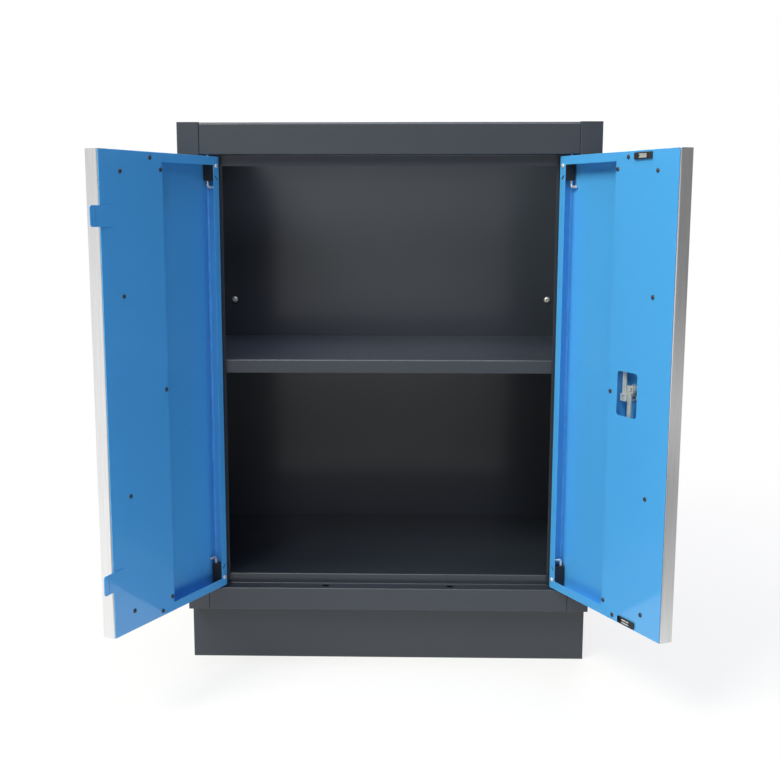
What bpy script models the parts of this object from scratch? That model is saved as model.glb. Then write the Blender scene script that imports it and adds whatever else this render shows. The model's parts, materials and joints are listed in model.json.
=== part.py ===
"""Workshop base cabinet: folded steel carcass, one shelf, two pan doors on sprung pins."""
import math

import bmesh
import bpy
from mathutils import Matrix, Vector

for leftover in list(bpy.data.objects):
    bpy.data.objects.remove(leftover, do_unlink=True)

# Sheet and fits
SHEET = 0.001
BEND = 0.001
GAP = 0.0003
BEND_STEPS = 3

# Carcass
BODY_WIDTH = 0.680
BODY_DEPTH = 0.458
CABINET_HEIGHT = 0.912
SIDE_PROUD = 0.0007
STILE_WIDTH = 0.036
SIDE_STOP_WIDTH = 0.032
REAR_POST_WIDTH = 0.018
REAR_RECESS = 0.017
REAR_SEAT = 0.026
TRAY_FLANGE = 0.020
TOP_RIM = 0.045
TOP_RIM_CORNER = 0.012
APRON_HEIGHT = 0.049
APRON_TOP_FLANGE = 0.022
TOP_STOP_HEIGHT = 0.017
SILL_HEIGHT = 0.0385
RISER_HEIGHT = 0.0175
SILL_TOP_FLANGE = 0.024
SILL_FOOT_LAP = 0.019
BACK_EDGE_INSET = 0.004

# Plinth
PLINTH_HEIGHT = 0.101
PLINTH_SETBACK = 0.043
PLINTH_FLANGE = 0.025

# Shelf and its brackets
SHELF_TOP = 0.5266
SHELF_LIP = 0.022
SHELF_HEM = 0.014
SHELF_SETBACK = 0.003
SHELF_BACK_GAP = 0.002
SHELF_SIDE_GAP = 0.004
BRACKET_LEG = 0.020
BRACKET_DROP = 0.025
BRACKET_END_INSET = 0.030

# Back panel bolts
BOLT_INSET = 0.0285
BOLT_LEVEL = 0.598
BOLT_SHANK = 0.006
BOLT_HEAD = 0.012
BOLT_HEAD_HEIGHT = 0.0034
BOLT_SOCKET = 0.004
BOLT_CLEARANCE = 0.0004
NUT_HEIGHT = 0.005
NUT_ACROSS = 0.010

# Doors
DOOR_DEPTH = 0.0228
DOOR_GAP_SIDE = 0.0027
DOOR_GAP_END = 0.003
MEETING_GAP = 0.0032
DOOR_CORNER = 0.004
HINGE_RETURN = 0.0145
END_RETURN = 0.0135
FREE_RETURN = 0.0215
OPEN_ANGLE = math.radians(115.5)
OPEN_CLEARANCE = 0.001
PIVOT_DEPTH = 0.007

# Aluminium edge profile
PROFILE_WIDTH = 0.032
PROFILE_WALL = 0.0016
GRIP_LIP = 0.007
GRIP_WIDTH = 0.019
GRIP_DEPTH = 0.0095
GRIP_SLOPE = 0.002
PROFILE_LEG = 0.026
PROFILE_FLANGE = 0.013

# Inner panel, its rivet holes and the stiffener behind its edge
PANEL_WIDTH = 0.1465
PANEL_EDGE_INSET = 0.0008
PANEL_END_INSET = 0.0006
STIFFENER_FLANGE = 0.0145
RIVET_SHANK = 0.004
RIVET_CLEARANCE = 0.0003
RIVET_EDGE = 0.005
RIVET_EDGE_END = 0.025
RIVET_FLANGE = 0.030
RIVET_FLANGE_END = 0.0085
RIVET_FREE = 0.047
RIVET_FREE_END = 0.030
RIVET_FREE_MIDDLE = 0.149

# Hinge block, pin, spring and bush
BLOCK_WIDTH = 0.0132
BLOCK_STANDOFF = 0.0022
BLOCK_HEIGHT = 0.036
BLOCK_CHAMFER = 0.0020
PIN_DIAMETER = 0.0044
PIN_CLEARANCE = 0.0003
PIN_REACH = 0.0085
PIN_TRAVEL = 0.010
PIN_STEM = 0.010
PIN_FOOT = 0.012
FOOT_TILT = math.radians(15)
COLLAR_DIAMETER = 0.0068
COLLAR_HEIGHT = 0.002
CHAMBER_FLOOR = 0.005
CHAMBER_ROOF = 0.0085
SPRING_MEAN = 0.0058
SPRING_WIRE = 0.0008
SPRING_TURNS = 6
BUSH_WALL = 0.0010
BUSH_LENGTH = 0.007
SCREW_HEAD = 0.007
SCREW_HEAD_HEIGHT = 0.0018
SCREW_SHANK = 0.004
SCREW_EDGE = 0.0075
SCREW_END = 0.0150
SCREW_DEPTH = 0.008
PARK_SLOT_END = 0.0335
PARK_SLOT_LENGTH = 0.009
PARK_SLOT_WIDTH = 0.0026

# Lapping tabs of the left door
TAB_HEIGHT = 0.030
TAB_LAP = 0.024
TAB_REACH = 0.024
TAB_BEND = 0.0115
TAB_JOGGLE = 0.0012
TAB_SHEET = 0.0012
TAB_CORNER = 0.004
TAB_UPPER_FROM_TOP = 0.0935
TAB_LOWER_LEVEL = 0.088

# Magnetic catches of the right door
CATCH_LENGTH = 0.041
CATCH_HEIGHT = 0.0100
CATCH_BODY = 0.0024
CATCH_END_INSET = 0.0030
CATCH_FROM_FREE = 0.0805
POLE_LENGTH = 0.017
POLE_WIDTH = 0.0018
POLE_SPREAD = 0.0042
POLE_PROUD = 0.0005
POLE_DEPTH = 0.0016
CATCH_CLEARANCE = 0.0004

# Lock of the right door
LOCK_FROM_FREE = 0.1116
LOCK_BODY = 0.018
LOCK_HEAD = 0.023
LOCK_HEAD_HEIGHT = 0.0025
LOCK_BODY_LENGTH = 0.0075
LOCK_RING_ACROSS = 0.024
LOCK_RING_HEIGHT = 0.0035
PLUG_DIAMETER = 0.012
PLUG_STEM = 0.006
KEYWAY_LENGTH = 0.0075
KEYWAY_WIDTH = 0.0018
KEYWAY_DEPTH = 0.004
CAM_SHEET = 0.002
CAM_RADIUS = 0.0095
CAM_END = 0.005
CAM_NUT_ACROSS = 0.010
CAM_NUT_HEIGHT = 0.003
STUD_DIAMETER = 0.005
STUD_PLAY = 0.0005
ROD_WIDTH = 0.008
ROD_SHEET = 0.0025
ROD_OVER_NUT = 0.0007
YOKE_RIM = 0.003
ROD_HOLE = 0.013
WINDOW_WIDTH = 0.050
WINDOW_HEIGHT = 0.0675
WINDOW_FROM_FREE = 0.1013
WINDOW_CORNER = 0.005

# Places that follow from the sizes
HALF_WIDTH = BODY_WIDTH / 2
FRAME_OFFSET = PLINTH_SETBACK + PLINTH_FLANGE / 2
CHANNEL = BEND + SHEET
PANEL_PLANE = DOOR_DEPTH + GAP + SHEET
CATCH_PLANE = PANEL_PLANE + GAP + CATCH_BODY
STOP_DEPTH = CATCH_PLANE + POLE_PROUD + GAP
STILE_EDGE = HALF_WIDTH - STILE_WIDTH
STOP_EDGE = STILE_EDGE - SIDE_STOP_WIDTH
TOP_UNDER = CABINET_HEIGHT - SIDE_PROUD - SHEET
APRON_TOP = TOP_UNDER - GAP
APRON_BOTTOM = APRON_TOP - APRON_HEIGHT
SILL_TOP = PLINTH_HEIGHT + SILL_HEIGHT
RISER_TOP = SILL_TOP + RISER_HEIGHT
FLOOR_TOP = RISER_TOP - SHEET - GAP
SEAT_FRONT = BODY_DEPTH - REAR_RECESS
BACK_REAR = SEAT_FRONT - GAP
BACK_FRONT = BACK_REAR - SHEET
INSIDE_HALF = HALF_WIDTH - SHEET - GAP

DOOR_WIDTH = HALF_WIDTH - STILE_WIDTH - DOOR_GAP_SIDE - MEETING_GAP / 2
DOOR_HEIGHT = APRON_BOTTOM - SILL_TOP - 2 * DOOR_GAP_END
DOOR_BOTTOM = SILL_TOP + DOOR_GAP_END
STILE_ROUND = BEND + SHEET
PIVOT_OFF_STILE = (
    PIVOT_DEPTH + OPEN_CLEARANCE + STILE_ROUND - (PIVOT_DEPTH - STILE_ROUND) * math.cos(OPEN_ANGLE)
) / math.sin(OPEN_ANGLE) - STILE_ROUND
PIVOT_X = STILE_EDGE - PIVOT_OFF_STILE
PIVOT_INSET = PIVOT_OFF_STILE - DOOR_GAP_SIDE
PAN_WIDTH = DOOR_WIDTH - PROFILE_WIDTH - GAP
PANEL_FREE = DOOR_WIDTH - PANEL_EDGE_INSET
PANEL_EDGE = PANEL_FREE - PANEL_WIDTH

LOCK_U = DOOR_WIDTH - LOCK_FROM_FREE
LOCK_W = DOOR_HEIGHT / 2
CAM_BASE = LOCK_BODY_LENGTH + 2 * GAP
CAM_TOP = CAM_BASE + CAM_SHEET
CAM_NUT_TOP = CAM_TOP + GAP + CAM_NUT_HEIGHT
ROD_BASE = CAM_NUT_TOP + ROD_OVER_NUT
ROD_TOP = ROD_BASE + ROD_SHEET
ROD_MIDDLE = (ROD_BASE + ROD_TOP) / 2
STUD_OFFSET = CAM_RADIUS * math.sin(math.pi / 4)
UPPER_ROD_U = LOCK_U - STUD_OFFSET
LOWER_ROD_U = LOCK_U + STUD_OFFSET


def closed_x(u):
    """Distance from the cabinet's middle of a place on a shut door."""
    return PIVOT_X + PIVOT_INSET - u


def finish(name, colour, roughness, metallic):
    """A Principled material of one colour."""
    material = bpy.data.materials.new(name)
    material.use_nodes = True
    shader = material.node_tree.nodes["Principled BSDF"]
    shader.inputs["Base Color"].default_value = (*colour, 1.0)
    shader.inputs["Roughness"].default_value = roughness
    shader.inputs["Metallic"].default_value = metallic
    return material


FINISHES = {
    "grey_paint": ((0.07, 0.07, 0.08), 0.45, 0.0),
    "blue_paint": ((0.05, 0.27, 0.62), 0.35, 0.0),
    "aluminium": ((0.72, 0.72, 0.72), 0.35, 1.0),
    "black_plastic": ((0.02, 0.02, 0.022), 0.5, 0.0),
    "zinc_steel": ((0.62, 0.62, 0.6), 0.35, 1.0),
    "dark_steel": ((0.05, 0.05, 0.07), 0.4, 0.6),
}


def empty(name, parent, location=(0.0, 0.0, 0.0), turn=0.0):
    """A parent frame, turned about the upright axis."""
    frame = bpy.data.objects.new(name, None)
    bpy.context.scene.collection.objects.link(frame)
    frame.parent = parent
    frame.location = location
    frame.rotation_euler = (0.0, 0.0, turn)
    return frame


def to_object(name, shape, parent, origin=None):
    """Turns a bmesh into an object, with its origin where it is wanted."""
    if origin is not None:
        bmesh.ops.translate(shape, verts=shape.verts, vec=-Vector(origin))
    mesh = bpy.data.meshes.new(name)
    shape.to_mesh(mesh)
    shape.free()
    item = bpy.data.objects.new(name, mesh)
    bpy.context.scene.collection.objects.link(item)
    item.parent = parent
    if origin is not None:
        item.location = origin
    return item


def make(name, shape, paint, parent, origin=None, smooth=False):
    """A piece of the cabinet with its own material."""
    item = to_object(name, shape, parent, origin)
    item.data.materials.append(finish(name + "_finish", *FINISHES[paint]))
    if smooth:
        item.data.shade_smooth()
        item.data.set_sharp_from_angle(angle=math.radians(35))
    return item


def combine(item, shape, operation):
    """Cuts a shape out of a piece, or joins it on."""
    tool = to_object(item.name + "_tool", shape, item.parent)
    tool.hide_render = True
    tool.display_type = "WIRE"
    modifier = item.modifiers.new(operation.lower(), "BOOLEAN")
    modifier.operation = operation
    modifier.solver = "EXACT"
    modifier.object = tool
    return tool


def cut(item, shape):
    return combine(item, shape, "DIFFERENCE")


def join(item, shape):
    return combine(item, shape, "UNION")


def merged(shapes):
    """One bmesh that holds several separate bodies."""
    whole = bmesh.new()
    for shape in shapes:
        mesh = bpy.data.meshes.new("part_of_group")
        shape.to_mesh(mesh)
        shape.free()
        whole.from_mesh(mesh)
        bpy.data.meshes.remove(mesh)
    return whole


def moved(shape, matrix):
    bmesh.ops.transform(shape, matrix=matrix, verts=shape.verts)
    return shape


def box(low, high):
    """A block between two opposite corners, in any order."""
    low = Vector(low)
    high = Vector(high)
    size = high - low
    middle = (high + low) / 2
    shape = bmesh.new()
    bmesh.ops.create_cube(shape, size=1.0)
    scale = Matrix.Diagonal((abs(size.x), abs(size.y), abs(size.z), 1.0))
    return moved(shape, Matrix.Translation(middle) @ scale)


def round_edges(shape, wanted, radius, steps):
    """Rounds the edges whose two ends both pass the test."""
    edges = []
    for edge in shape.edges:
        if wanted(edge.verts[0].co, edge.verts[1].co):
            edges.append(edge)
    bmesh.ops.bevel(
        shape, geom=edges, offset=radius, offset_type="OFFSET",
        segments=steps, profile=0.5, affect="EDGES",
    )
    return shape


def prism(outline, place, low, high):
    """Runs a flat outline from one level to another; place turns (a, b, level) into a point."""
    shape = bmesh.new()
    near = []
    far = []
    for point in outline:
        near.append(shape.verts.new(place(point[0], point[1], low)))
        far.append(shape.verts.new(place(point[0], point[1], high)))
    shape.faces.new(near)
    shape.faces.new(far)
    count = len(outline)
    for index in range(count):
        after = (index + 1) % count
        shape.faces.new((near[index], near[after], far[after], far[index]))
    bmesh.ops.recalc_face_normals(shape, faces=shape.faces)
    return shape


def folded(path, thickness, bend, side):
    """Outline of a folded sheet; side is 1 where the sheet lies left of the path, else -1."""
    points = [Vector(point) for point in path]
    face = []
    back = []
    last = len(points) - 1
    for index, point in enumerate(points):
        before = (point - points[max(index - 1, 0)]).normalized()
        after = (points[min(index + 1, last)] - point).normalized()
        if index in (0, last):
            along = after if index == 0 else before
            face.append(point)
            back.append(point + Vector((-along.y, along.x)) * side * thickness)
            continue
        turn = before.x * after.y - before.y * after.x
        way = 1.0 if turn > 0 else -1.0
        inward = way * side > 0
        face_radius = bend + thickness if inward else bend
        back_radius = bend if inward else bend + thickness
        sweep = math.acos(max(-1.0, min(1.0, before.dot(after))))
        start = point - before * face_radius * math.tan(sweep / 2)
        across = Vector((-before.y, before.x)) * way
        centre = start + across * face_radius
        for step in range(BEND_STEPS + 1):
            spoke = Matrix.Rotation(way * sweep * step / BEND_STEPS, 2) @ -across
            face.append(centre + spoke * face_radius)
            back.append(centre + spoke * back_radius)
    return face + back[::-1]


def turned(profile, sides, closed=False):
    """Spins a profile of (radius, height) about the upright axis."""
    shape = bmesh.new()
    verts = []
    for radius, height in profile:
        verts.append(shape.verts.new((radius, 0.0, height)))
    edges = []
    for first, second in zip(verts, verts[1:]):
        edges.append(shape.edges.new((first, second)))
    if closed:
        edges.append(shape.edges.new((verts[-1], verts[0])))
    bmesh.ops.spin(
        shape, geom=verts + edges, cent=(0.0, 0.0, 0.0), axis=(0.0, 0.0, 1.0),
        angle=2 * math.pi, steps=sides, use_merge=True,
    )
    bmesh.ops.remove_doubles(shape, verts=shape.verts, dist=0.000001)
    bmesh.ops.recalc_face_normals(shape, faces=shape.faces)
    return shape


def rod(radius, low, high, sides):
    """A plain round bar along the upright axis."""
    shape = bmesh.new()
    bmesh.ops.create_cone(
        shape, cap_ends=True, cap_tris=False, segments=sides,
        radius1=radius, radius2=radius, depth=high - low,
    )
    return moved(shape, Matrix.Translation((0.0, 0.0, (high + low) / 2)))


def hexagon(across, low, high, bore):
    """A nut along the upright axis, with a round bore."""
    outer = across / math.sqrt(3.0)
    shape = bmesh.new()
    sides = 24
    rings = []
    for level in (low, high):
        outside = []
        inside = []
        for index in range(sides):
            angle = 2 * math.pi * index / sides
            part = (angle % (math.pi / 3)) - math.pi / 6
            reach = outer * math.cos(math.pi / 6) / math.cos(part)
            spoke = Vector((math.cos(angle), math.sin(angle), 0.0))
            outside.append(shape.verts.new(spoke * reach + Vector((0.0, 0.0, level))))
            inside.append(shape.verts.new(spoke * bore / 2 + Vector((0.0, 0.0, level))))
        rings.append((outside, inside))
    for index in range(sides):
        after = (index + 1) % sides
        low_out, low_in = rings[0]
        high_out, high_in = rings[1]
        shape.faces.new((low_out[index], low_out[after], low_in[after], low_in[index]))
        shape.faces.new((high_out[index], high_out[after], high_in[after], high_in[index]))
        shape.faces.new((low_out[index], low_out[after], high_out[after], high_out[index]))
        shape.faces.new((low_in[index], low_in[after], high_in[after], high_in[index]))
    bmesh.ops.recalc_face_normals(shape, faces=shape.faces)
    return shape


def along_x(a, b, level):
    return Vector((level, a, b))


def along_y(a, b, level):
    return Vector((a, level, b))


def mirrored(hand, place):
    """The same placing on the right side (1) or the left side (-1)."""
    def placed(a, b, level):
        point = place(a, b, level)
        return Vector((hand * point.x, point.y, point.z))
    return placed


def along_z(a, b, level):
    return Vector((a, b, level))


INTO_DEPTH = Matrix.Rotation(-math.pi / 2, 4, "X")
SIDES = {1: "right", -1: "left"}
frame = empty("cabinet", None, (0.0, -FRAME_OFFSET, 0.0))


def upright_hole(x, y, radius, low, high, sides=20):
    return moved(rod(radius, low, high, sides), Matrix.Translation((x, y, 0.0)))


# Side panels: one sheet each, folded into stop, jamb, stile, side, rear post and seat for the back
side_path = (
    (STOP_EDGE, STOP_DEPTH),
    (STILE_EDGE, STOP_DEPTH),
    (STILE_EDGE, 0.0),
    (HALF_WIDTH, 0.0),
    (HALF_WIDTH, BODY_DEPTH),
    (HALF_WIDTH - REAR_POST_WIDTH, BODY_DEPTH),
    (HALF_WIDTH - REAR_POST_WIDTH, SEAT_FRONT + SHEET),
    (HALF_WIDTH - REAR_POST_WIDTH - REAR_SEAT, SEAT_FRONT + SHEET),
)
for hand, label in SIDES.items():
    outline = folded(side_path, SHEET, BEND, 1)
    panel = prism(outline, mirrored(hand, along_z), PLINTH_HEIGHT, CABINET_HEIGHT)
    panel = make("side_panel_" + label, panel, "grey_paint", frame)
    clear_low = (hand * (STOP_EDGE - BEND), CHANNEL + GAP / 2, APRON_TOP)
    clear_high = (hand * (HALF_WIDTH - CHANNEL), BODY_DEPTH + BEND, CABINET_HEIGHT + BEND)
    cut(panel, box(clear_low, clear_high))
    bolt_hole = rod(BOLT_SHANK / 2 + BOLT_CLEARANCE, SEAT_FRONT - BEND, SEAT_FRONT + CHANNEL, 16)
    spot = Matrix.Translation((hand * (HALF_WIDTH - BOLT_INSET), 0.0, BOLT_LEVEL))
    cut(panel, moved(bolt_hole, spot @ INTO_DEPTH))

# Back panel with its bolts and nuts
back_half = HALF_WIDTH - BACK_EDGE_INSET
back = make(
    "back_panel",
    box((-back_half, BACK_FRONT, PLINTH_HEIGHT), (back_half, BACK_REAR, APRON_TOP)),
    "grey_paint", frame,
)
bolt_profile = (
    (0.0, BACK_FRONT - GAP - BOLT_HEAD_HEIGHT),
    (BOLT_HEAD * 0.30, BACK_FRONT - GAP - BOLT_HEAD_HEIGHT * 0.97),
    (BOLT_HEAD * 0.44, BACK_FRONT - GAP - BOLT_HEAD_HEIGHT * 0.62),
    (BOLT_HEAD * 0.50, BACK_FRONT - GAP),
    (BOLT_SHANK / 2, BACK_FRONT - GAP),
    (BOLT_SHANK / 2, SEAT_FRONT + SHEET + GAP + NUT_HEIGHT + CHANNEL),
    (0.0, SEAT_FRONT + SHEET + GAP + NUT_HEIGHT + CHANNEL),
)
holes = []
for hand, label in SIDES.items():
    spot = Matrix.Translation((hand * (HALF_WIDTH - BOLT_INSET), 0.0, BOLT_LEVEL)) @ INTO_DEPTH
    bolt = moved(turned(bolt_profile, 18), spot)
    bolt = make("back_panel_bolt_" + label, bolt, "zinc_steel", frame, smooth=True)
    socket_deep = BACK_FRONT - GAP - BOLT_HEAD_HEIGHT / 3
    socket = rod(BOLT_SOCKET / math.sqrt(3.0), BACK_FRONT - 2 * BOLT_HEAD_HEIGHT, socket_deep, 6)
    cut(bolt, moved(socket, spot))
    nut_low = SEAT_FRONT + SHEET + GAP
    nut_bore = BOLT_SHANK + 2 * BOLT_CLEARANCE
    nut = hexagon(NUT_ACROSS, nut_low, nut_low + NUT_HEIGHT, nut_bore)
    make("back_panel_nut_" + label, moved(nut, spot), "zinc_steel", frame)
    hole = rod(BOLT_SHANK / 2 + BOLT_CLEARANCE, BACK_FRONT - BEND, BACK_REAR + BEND, 16)
    holes.append(moved(hole, spot))
cut(back, merged(holes))

# Top frame and floor panel: trays turned upside down, open at the front; a worktop covers the frame
top_front = CHANNEL + GAP
top_rear = BODY_DEPTH - CHANNEL - GAP
top_panel = make(
    "top_panel",
    box((-INSIDE_HALF, top_front, TOP_UNDER - TRAY_FLANGE), (INSIDE_HALF, top_rear, TOP_UNDER + SHEET)),
    "grey_paint", frame,
)
hollow_half = INSIDE_HALF - SHEET
cut(top_panel, box(
    (-hollow_half, top_front - BEND, TOP_UNDER - TRAY_FLANGE - BEND),
    (hollow_half, top_rear - SHEET, TOP_UNDER),
))
opening_half = INSIDE_HALF - TOP_RIM
top_opening = box(
    (-opening_half, top_front + TOP_RIM, TOP_UNDER - SHEET),
    (opening_half, top_rear - TOP_RIM, TOP_UNDER + 2 * SHEET),
)
round_edges(top_opening, lambda a, b: abs(a.z - b.z) > SHEET, TOP_RIM_CORNER, 4)
top_cuts = [top_opening]
post_gap = HALF_WIDTH - REAR_POST_WIDTH - GAP
for hand in SIDES:
    top_cuts.append(box(
        (hand * post_gap, SEAT_FRONT - CHANNEL, TOP_UNDER - TRAY_FLANGE - BEND),
        (hand * (INSIDE_HALF + BEND), BODY_DEPTH, TOP_UNDER),
    ))
cut(top_panel, merged(top_cuts))

floor_front = STOP_DEPTH + CHANNEL + GAP
floor_rear = BACK_FRONT - GAP
floor_low = FLOOR_TOP - SHEET - TRAY_FLANGE
floor = make(
    "bottom_panel",
    box((-INSIDE_HALF, floor_front, floor_low), (INSIDE_HALF, floor_rear, FLOOR_TOP)),
    "grey_paint", frame,
)
cut(floor, box(
    (-hollow_half, floor_front - BEND, floor_low - BEND),
    (hollow_half, floor_rear - SHEET, FLOOR_TOP - SHEET),
))

# Front rails: apron above the doors, sill below them
rail_half = STILE_EDGE - GAP
rail_stop_half = STOP_EDGE - GAP
apron_path = (
    (APRON_TOP_FLANGE, APRON_TOP),
    (0.0, APRON_TOP),
    (0.0, APRON_BOTTOM),
    (STOP_DEPTH, APRON_BOTTOM),
    (STOP_DEPTH, APRON_BOTTOM - TOP_STOP_HEIGHT),
)
sill_path = (
    (STOP_DEPTH + SILL_TOP_FLANGE, RISER_TOP),
    (STOP_DEPTH, RISER_TOP),
    (STOP_DEPTH, SILL_TOP),
    (0.0, SILL_TOP),
    (0.0, PLINTH_HEIGHT),
    (PLINTH_SETBACK + SILL_FOOT_LAP, PLINTH_HEIGHT),
)
bush_hole = PIN_DIAMETER / 2 + PIN_CLEARANCE + BUSH_WALL + GAP
rails = (
    ("top_front_rail", apron_path, APRON_BOTTOM, UPPER_ROD_U),
    ("bottom_front_rail", sill_path, SILL_TOP, LOWER_ROD_U),
)
for name, path, ledge, rod_u in rails:
    rail = prism(folded(path, SHEET, BEND, 1), along_x, -rail_half, rail_half)
    rail = make(name, rail, "grey_paint", frame)
    corners = []
    holes = []
    for hand in SIDES:
        corners.append(box(
            (hand * rail_stop_half, STOP_DEPTH - GAP, PLINTH_HEIGHT - BEND),
            (hand * (rail_half + BEND), BODY_DEPTH, CABINET_HEIGHT),
        ))
        holes.append(upright_hole(
            hand * PIVOT_X, PIVOT_DEPTH, bush_hole, ledge - 3 * SHEET, ledge + 3 * SHEET,
        ))
        holes.append(upright_hole(
            hand * closed_x(rod_u), ROD_MIDDLE, ROD_HOLE / 2, ledge - 3 * SHEET, ledge + 3 * SHEET,
        ))
    cut(rail, merged(corners))
    cut(rail, merged(holes))

# Bushes for the four hinge pins, flush with the ledges
bush_in = PIN_DIAMETER / 2 + PIN_CLEARANCE
for hand, label in SIDES.items():
    for part, low in (("upper", APRON_BOTTOM), ("lower", SILL_TOP - BUSH_LENGTH)):
        profile = (
            (bush_in, low),
            (bush_in + BUSH_WALL, low),
            (bush_in + BUSH_WALL, low + BUSH_LENGTH),
            (bush_in, low + BUSH_LENGTH),
        )
        spot = Matrix.Translation((hand * PIVOT_X, PIVOT_DEPTH, 0.0))
        bush = moved(turned(profile, 20, closed=True), spot)
        make(label + "_hinge_bush_" + part, bush, "black_plastic", frame, smooth=True)

# Plinth: four folded channels
plinth_top = PLINTH_HEIGHT - GAP
plinth_ends = (
    ("plinth_front", PLINTH_SETBACK, PLINTH_SETBACK + PLINTH_FLANGE, 1),
    ("plinth_back", BODY_DEPTH, BODY_DEPTH - PLINTH_FLANGE, -1),
)
flange_clear = HALF_WIDTH - PLINTH_FLANGE - GAP
for name, web, flange, side in plinth_ends:
    path = ((flange, plinth_top), (web, plinth_top), (web, 0.0), (flange, 0.0))
    channel = prism(folded(path, SHEET, BEND, side), along_x, -HALF_WIDTH, HALF_WIDTH)
    channel = make(name, channel, "grey_paint", frame)
    corners = []
    for hand in SIDES:
        corners.append(box(
            (hand * flange_clear, web + side * CHANNEL, -BEND),
            (hand * (HALF_WIDTH + BEND), flange + side * BEND, plinth_top + BEND),
        ))
    cut(channel, merged(corners))
for hand, label in SIDES.items():
    path = (
        (HALF_WIDTH - PLINTH_FLANGE, plinth_top),
        (HALF_WIDTH, plinth_top),
        (HALF_WIDTH, 0.0),
        (HALF_WIDTH - PLINTH_FLANGE, 0.0),
    )
    near = PLINTH_SETBACK + CHANNEL + GAP
    far = BODY_DEPTH - CHANNEL - GAP
    channel = prism(folded(path, SHEET, BEND, -1), mirrored(hand, along_y), near, far)
    make("plinth_side_" + label, channel, "grey_paint", frame)

# Shelf: tray with a lip all round and a hem under the front lip
shelf_front = STOP_DEPTH + SHEET + SHELF_SETBACK
shelf_back = BACK_FRONT - SHELF_BACK_GAP
shelf_half = HALF_WIDTH - SHEET - SHELF_SIDE_GAP
shelf_low = SHELF_TOP - SHELF_LIP
shelf = box((-shelf_half, shelf_front, shelf_low), (shelf_half, shelf_back, SHELF_TOP))
round_edges(shelf, lambda a, b: min(a.z, b.z) > SHELF_TOP - BEND, BEND + SHEET, BEND_STEPS)
shelf = make("shelf", shelf, "grey_paint", frame)
shelf_hollow = box(
    (-shelf_half + SHEET, shelf_front + SHEET, shelf_low + SHEET),
    (shelf_half - SHEET, shelf_back - SHEET, SHELF_TOP - SHEET),
)
round_edges(shelf_hollow, lambda a, b: min(a.z, b.z) > SHELF_TOP - 2 * SHEET, BEND, BEND_STEPS)
cut(shelf, shelf_hollow)
cut(shelf, box(
    (-shelf_half + SHEET, shelf_front + SHELF_HEM, shelf_low - SHEET),
    (shelf_half - SHEET, shelf_back - SHEET, shelf_low + SHEET * 2),
))
for hand, label in SIDES.items():
    path = (
        (INSIDE_HALF, shelf_low - GAP - BRACKET_DROP),
        (INSIDE_HALF, shelf_low - GAP),
        (INSIDE_HALF - BRACKET_LEG, shelf_low - GAP),
    )
    near = shelf_front + BRACKET_END_INSET
    far = shelf_back - BRACKET_END_INSET
    bracket = prism(folded(path, SHEET, BEND, 1), mirrored(hand, along_y), near, far)
    make("shelf_bracket_" + label, bracket, "grey_paint", frame)


# Doors. A place on a door: u from the hinge edge, v from the outer face, w up from the lower edge
def door_place(hand):
    def placed(u, v, w):
        return Vector((hand * (PIVOT_INSET - u), v - PIVOT_DEPTH, DOOR_BOTTOM + w))
    return placed


def door_box(place, low, high):
    return box(place(*low), place(*high))


def door_bore(place, u, w, radius, low, high, sides=10):
    """A round bar through the door's thickness."""
    spot = place(u, 0.0, w)
    return moved(rod(radius, low, high, sides), Matrix.Translation(spot) @ INTO_DEPTH)


def pan(place, inset, far):
    """The pan's block, or its hollow, with the folds of its outer face rounded."""
    low = (inset, inset, inset)
    high = (PAN_WIDTH - inset, far, DOOR_HEIGHT - inset)
    shape = door_box(place, low, high)
    hinge = place(*low)
    corner = DOOR_CORNER - inset
    near = GAP / 10

    def upright(a, b):
        on_edge = abs(a.x - hinge.x) < near and abs(b.x - hinge.x) < near
        return on_edge and max(a.y, b.y) < hinge.y + near

    def end_rim(a, b):
        level = abs(a.z - b.z) < near
        return level and max(a.y, b.y) < hinge.y + corner + near

    round_edges(shape, upright, corner, 4)
    round_edges(shape, end_rim, CHANNEL - inset, BEND_STEPS)
    return shape


def rivet_places():
    """Places of the nine rivet holes: panel's edge, end flanges and free flange."""
    edge = PANEL_EDGE + RIVET_EDGE
    flange = PANEL_EDGE + RIVET_FLANGE
    free = DOOR_WIDTH - RIVET_FREE
    spots = {"edge": [], "pan": []}
    for level in (RIVET_EDGE_END, DOOR_HEIGHT / 2, DOOR_HEIGHT - RIVET_EDGE_END):
        spots["edge"].append((edge, level))
    for level in (RIVET_FLANGE_END, DOOR_HEIGHT - RIVET_FLANGE_END):
        spots["pan"].append((flange, level))
    for level in (RIVET_FREE_END, DOOR_HEIGHT / 2 - RIVET_FREE_MIDDLE):
        spots["pan"].append((free, level))
        spots["pan"].append((free, DOOR_HEIGHT - level))
    return spots


RIVETS = rivet_places()
RIVET_BORE = RIVET_SHANK / 2 + RIVET_CLEARANCE
FLANGE_LOW = DOOR_DEPTH - SHEET
BLOCK_END = CHANNEL + GAP
ENDS = {"upper": 1, "lower": -1}


def end_level(end, inset):
    """Height of a place that lies a given way in from the door's upper or lower edge."""
    return DOOR_HEIGHT - inset if end > 0 else inset


def grip_outline():
    """Section of the edge profile: inner leg, edge, finger groove in the outer face, flange."""
    start = DOOR_WIDTH - PROFILE_WIDTH
    lip = DOOR_WIDTH - GRIP_LIP
    path = (
        (DOOR_WIDTH - PROFILE_LEG, DOOR_DEPTH),
        (DOOR_WIDTH, DOOR_DEPTH),
        (DOOR_WIDTH, 0.0),
        (lip, 0.0),
        (lip - GRIP_SLOPE, GRIP_DEPTH),
        (lip - GRIP_WIDTH + GRIP_SLOPE, GRIP_DEPTH),
        (lip - GRIP_WIDTH, 0.0),
        (start, 0.0),
        (start, PROFILE_FLANGE),
    )
    return folded(path, PROFILE_WALL, BEND, -1)


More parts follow.
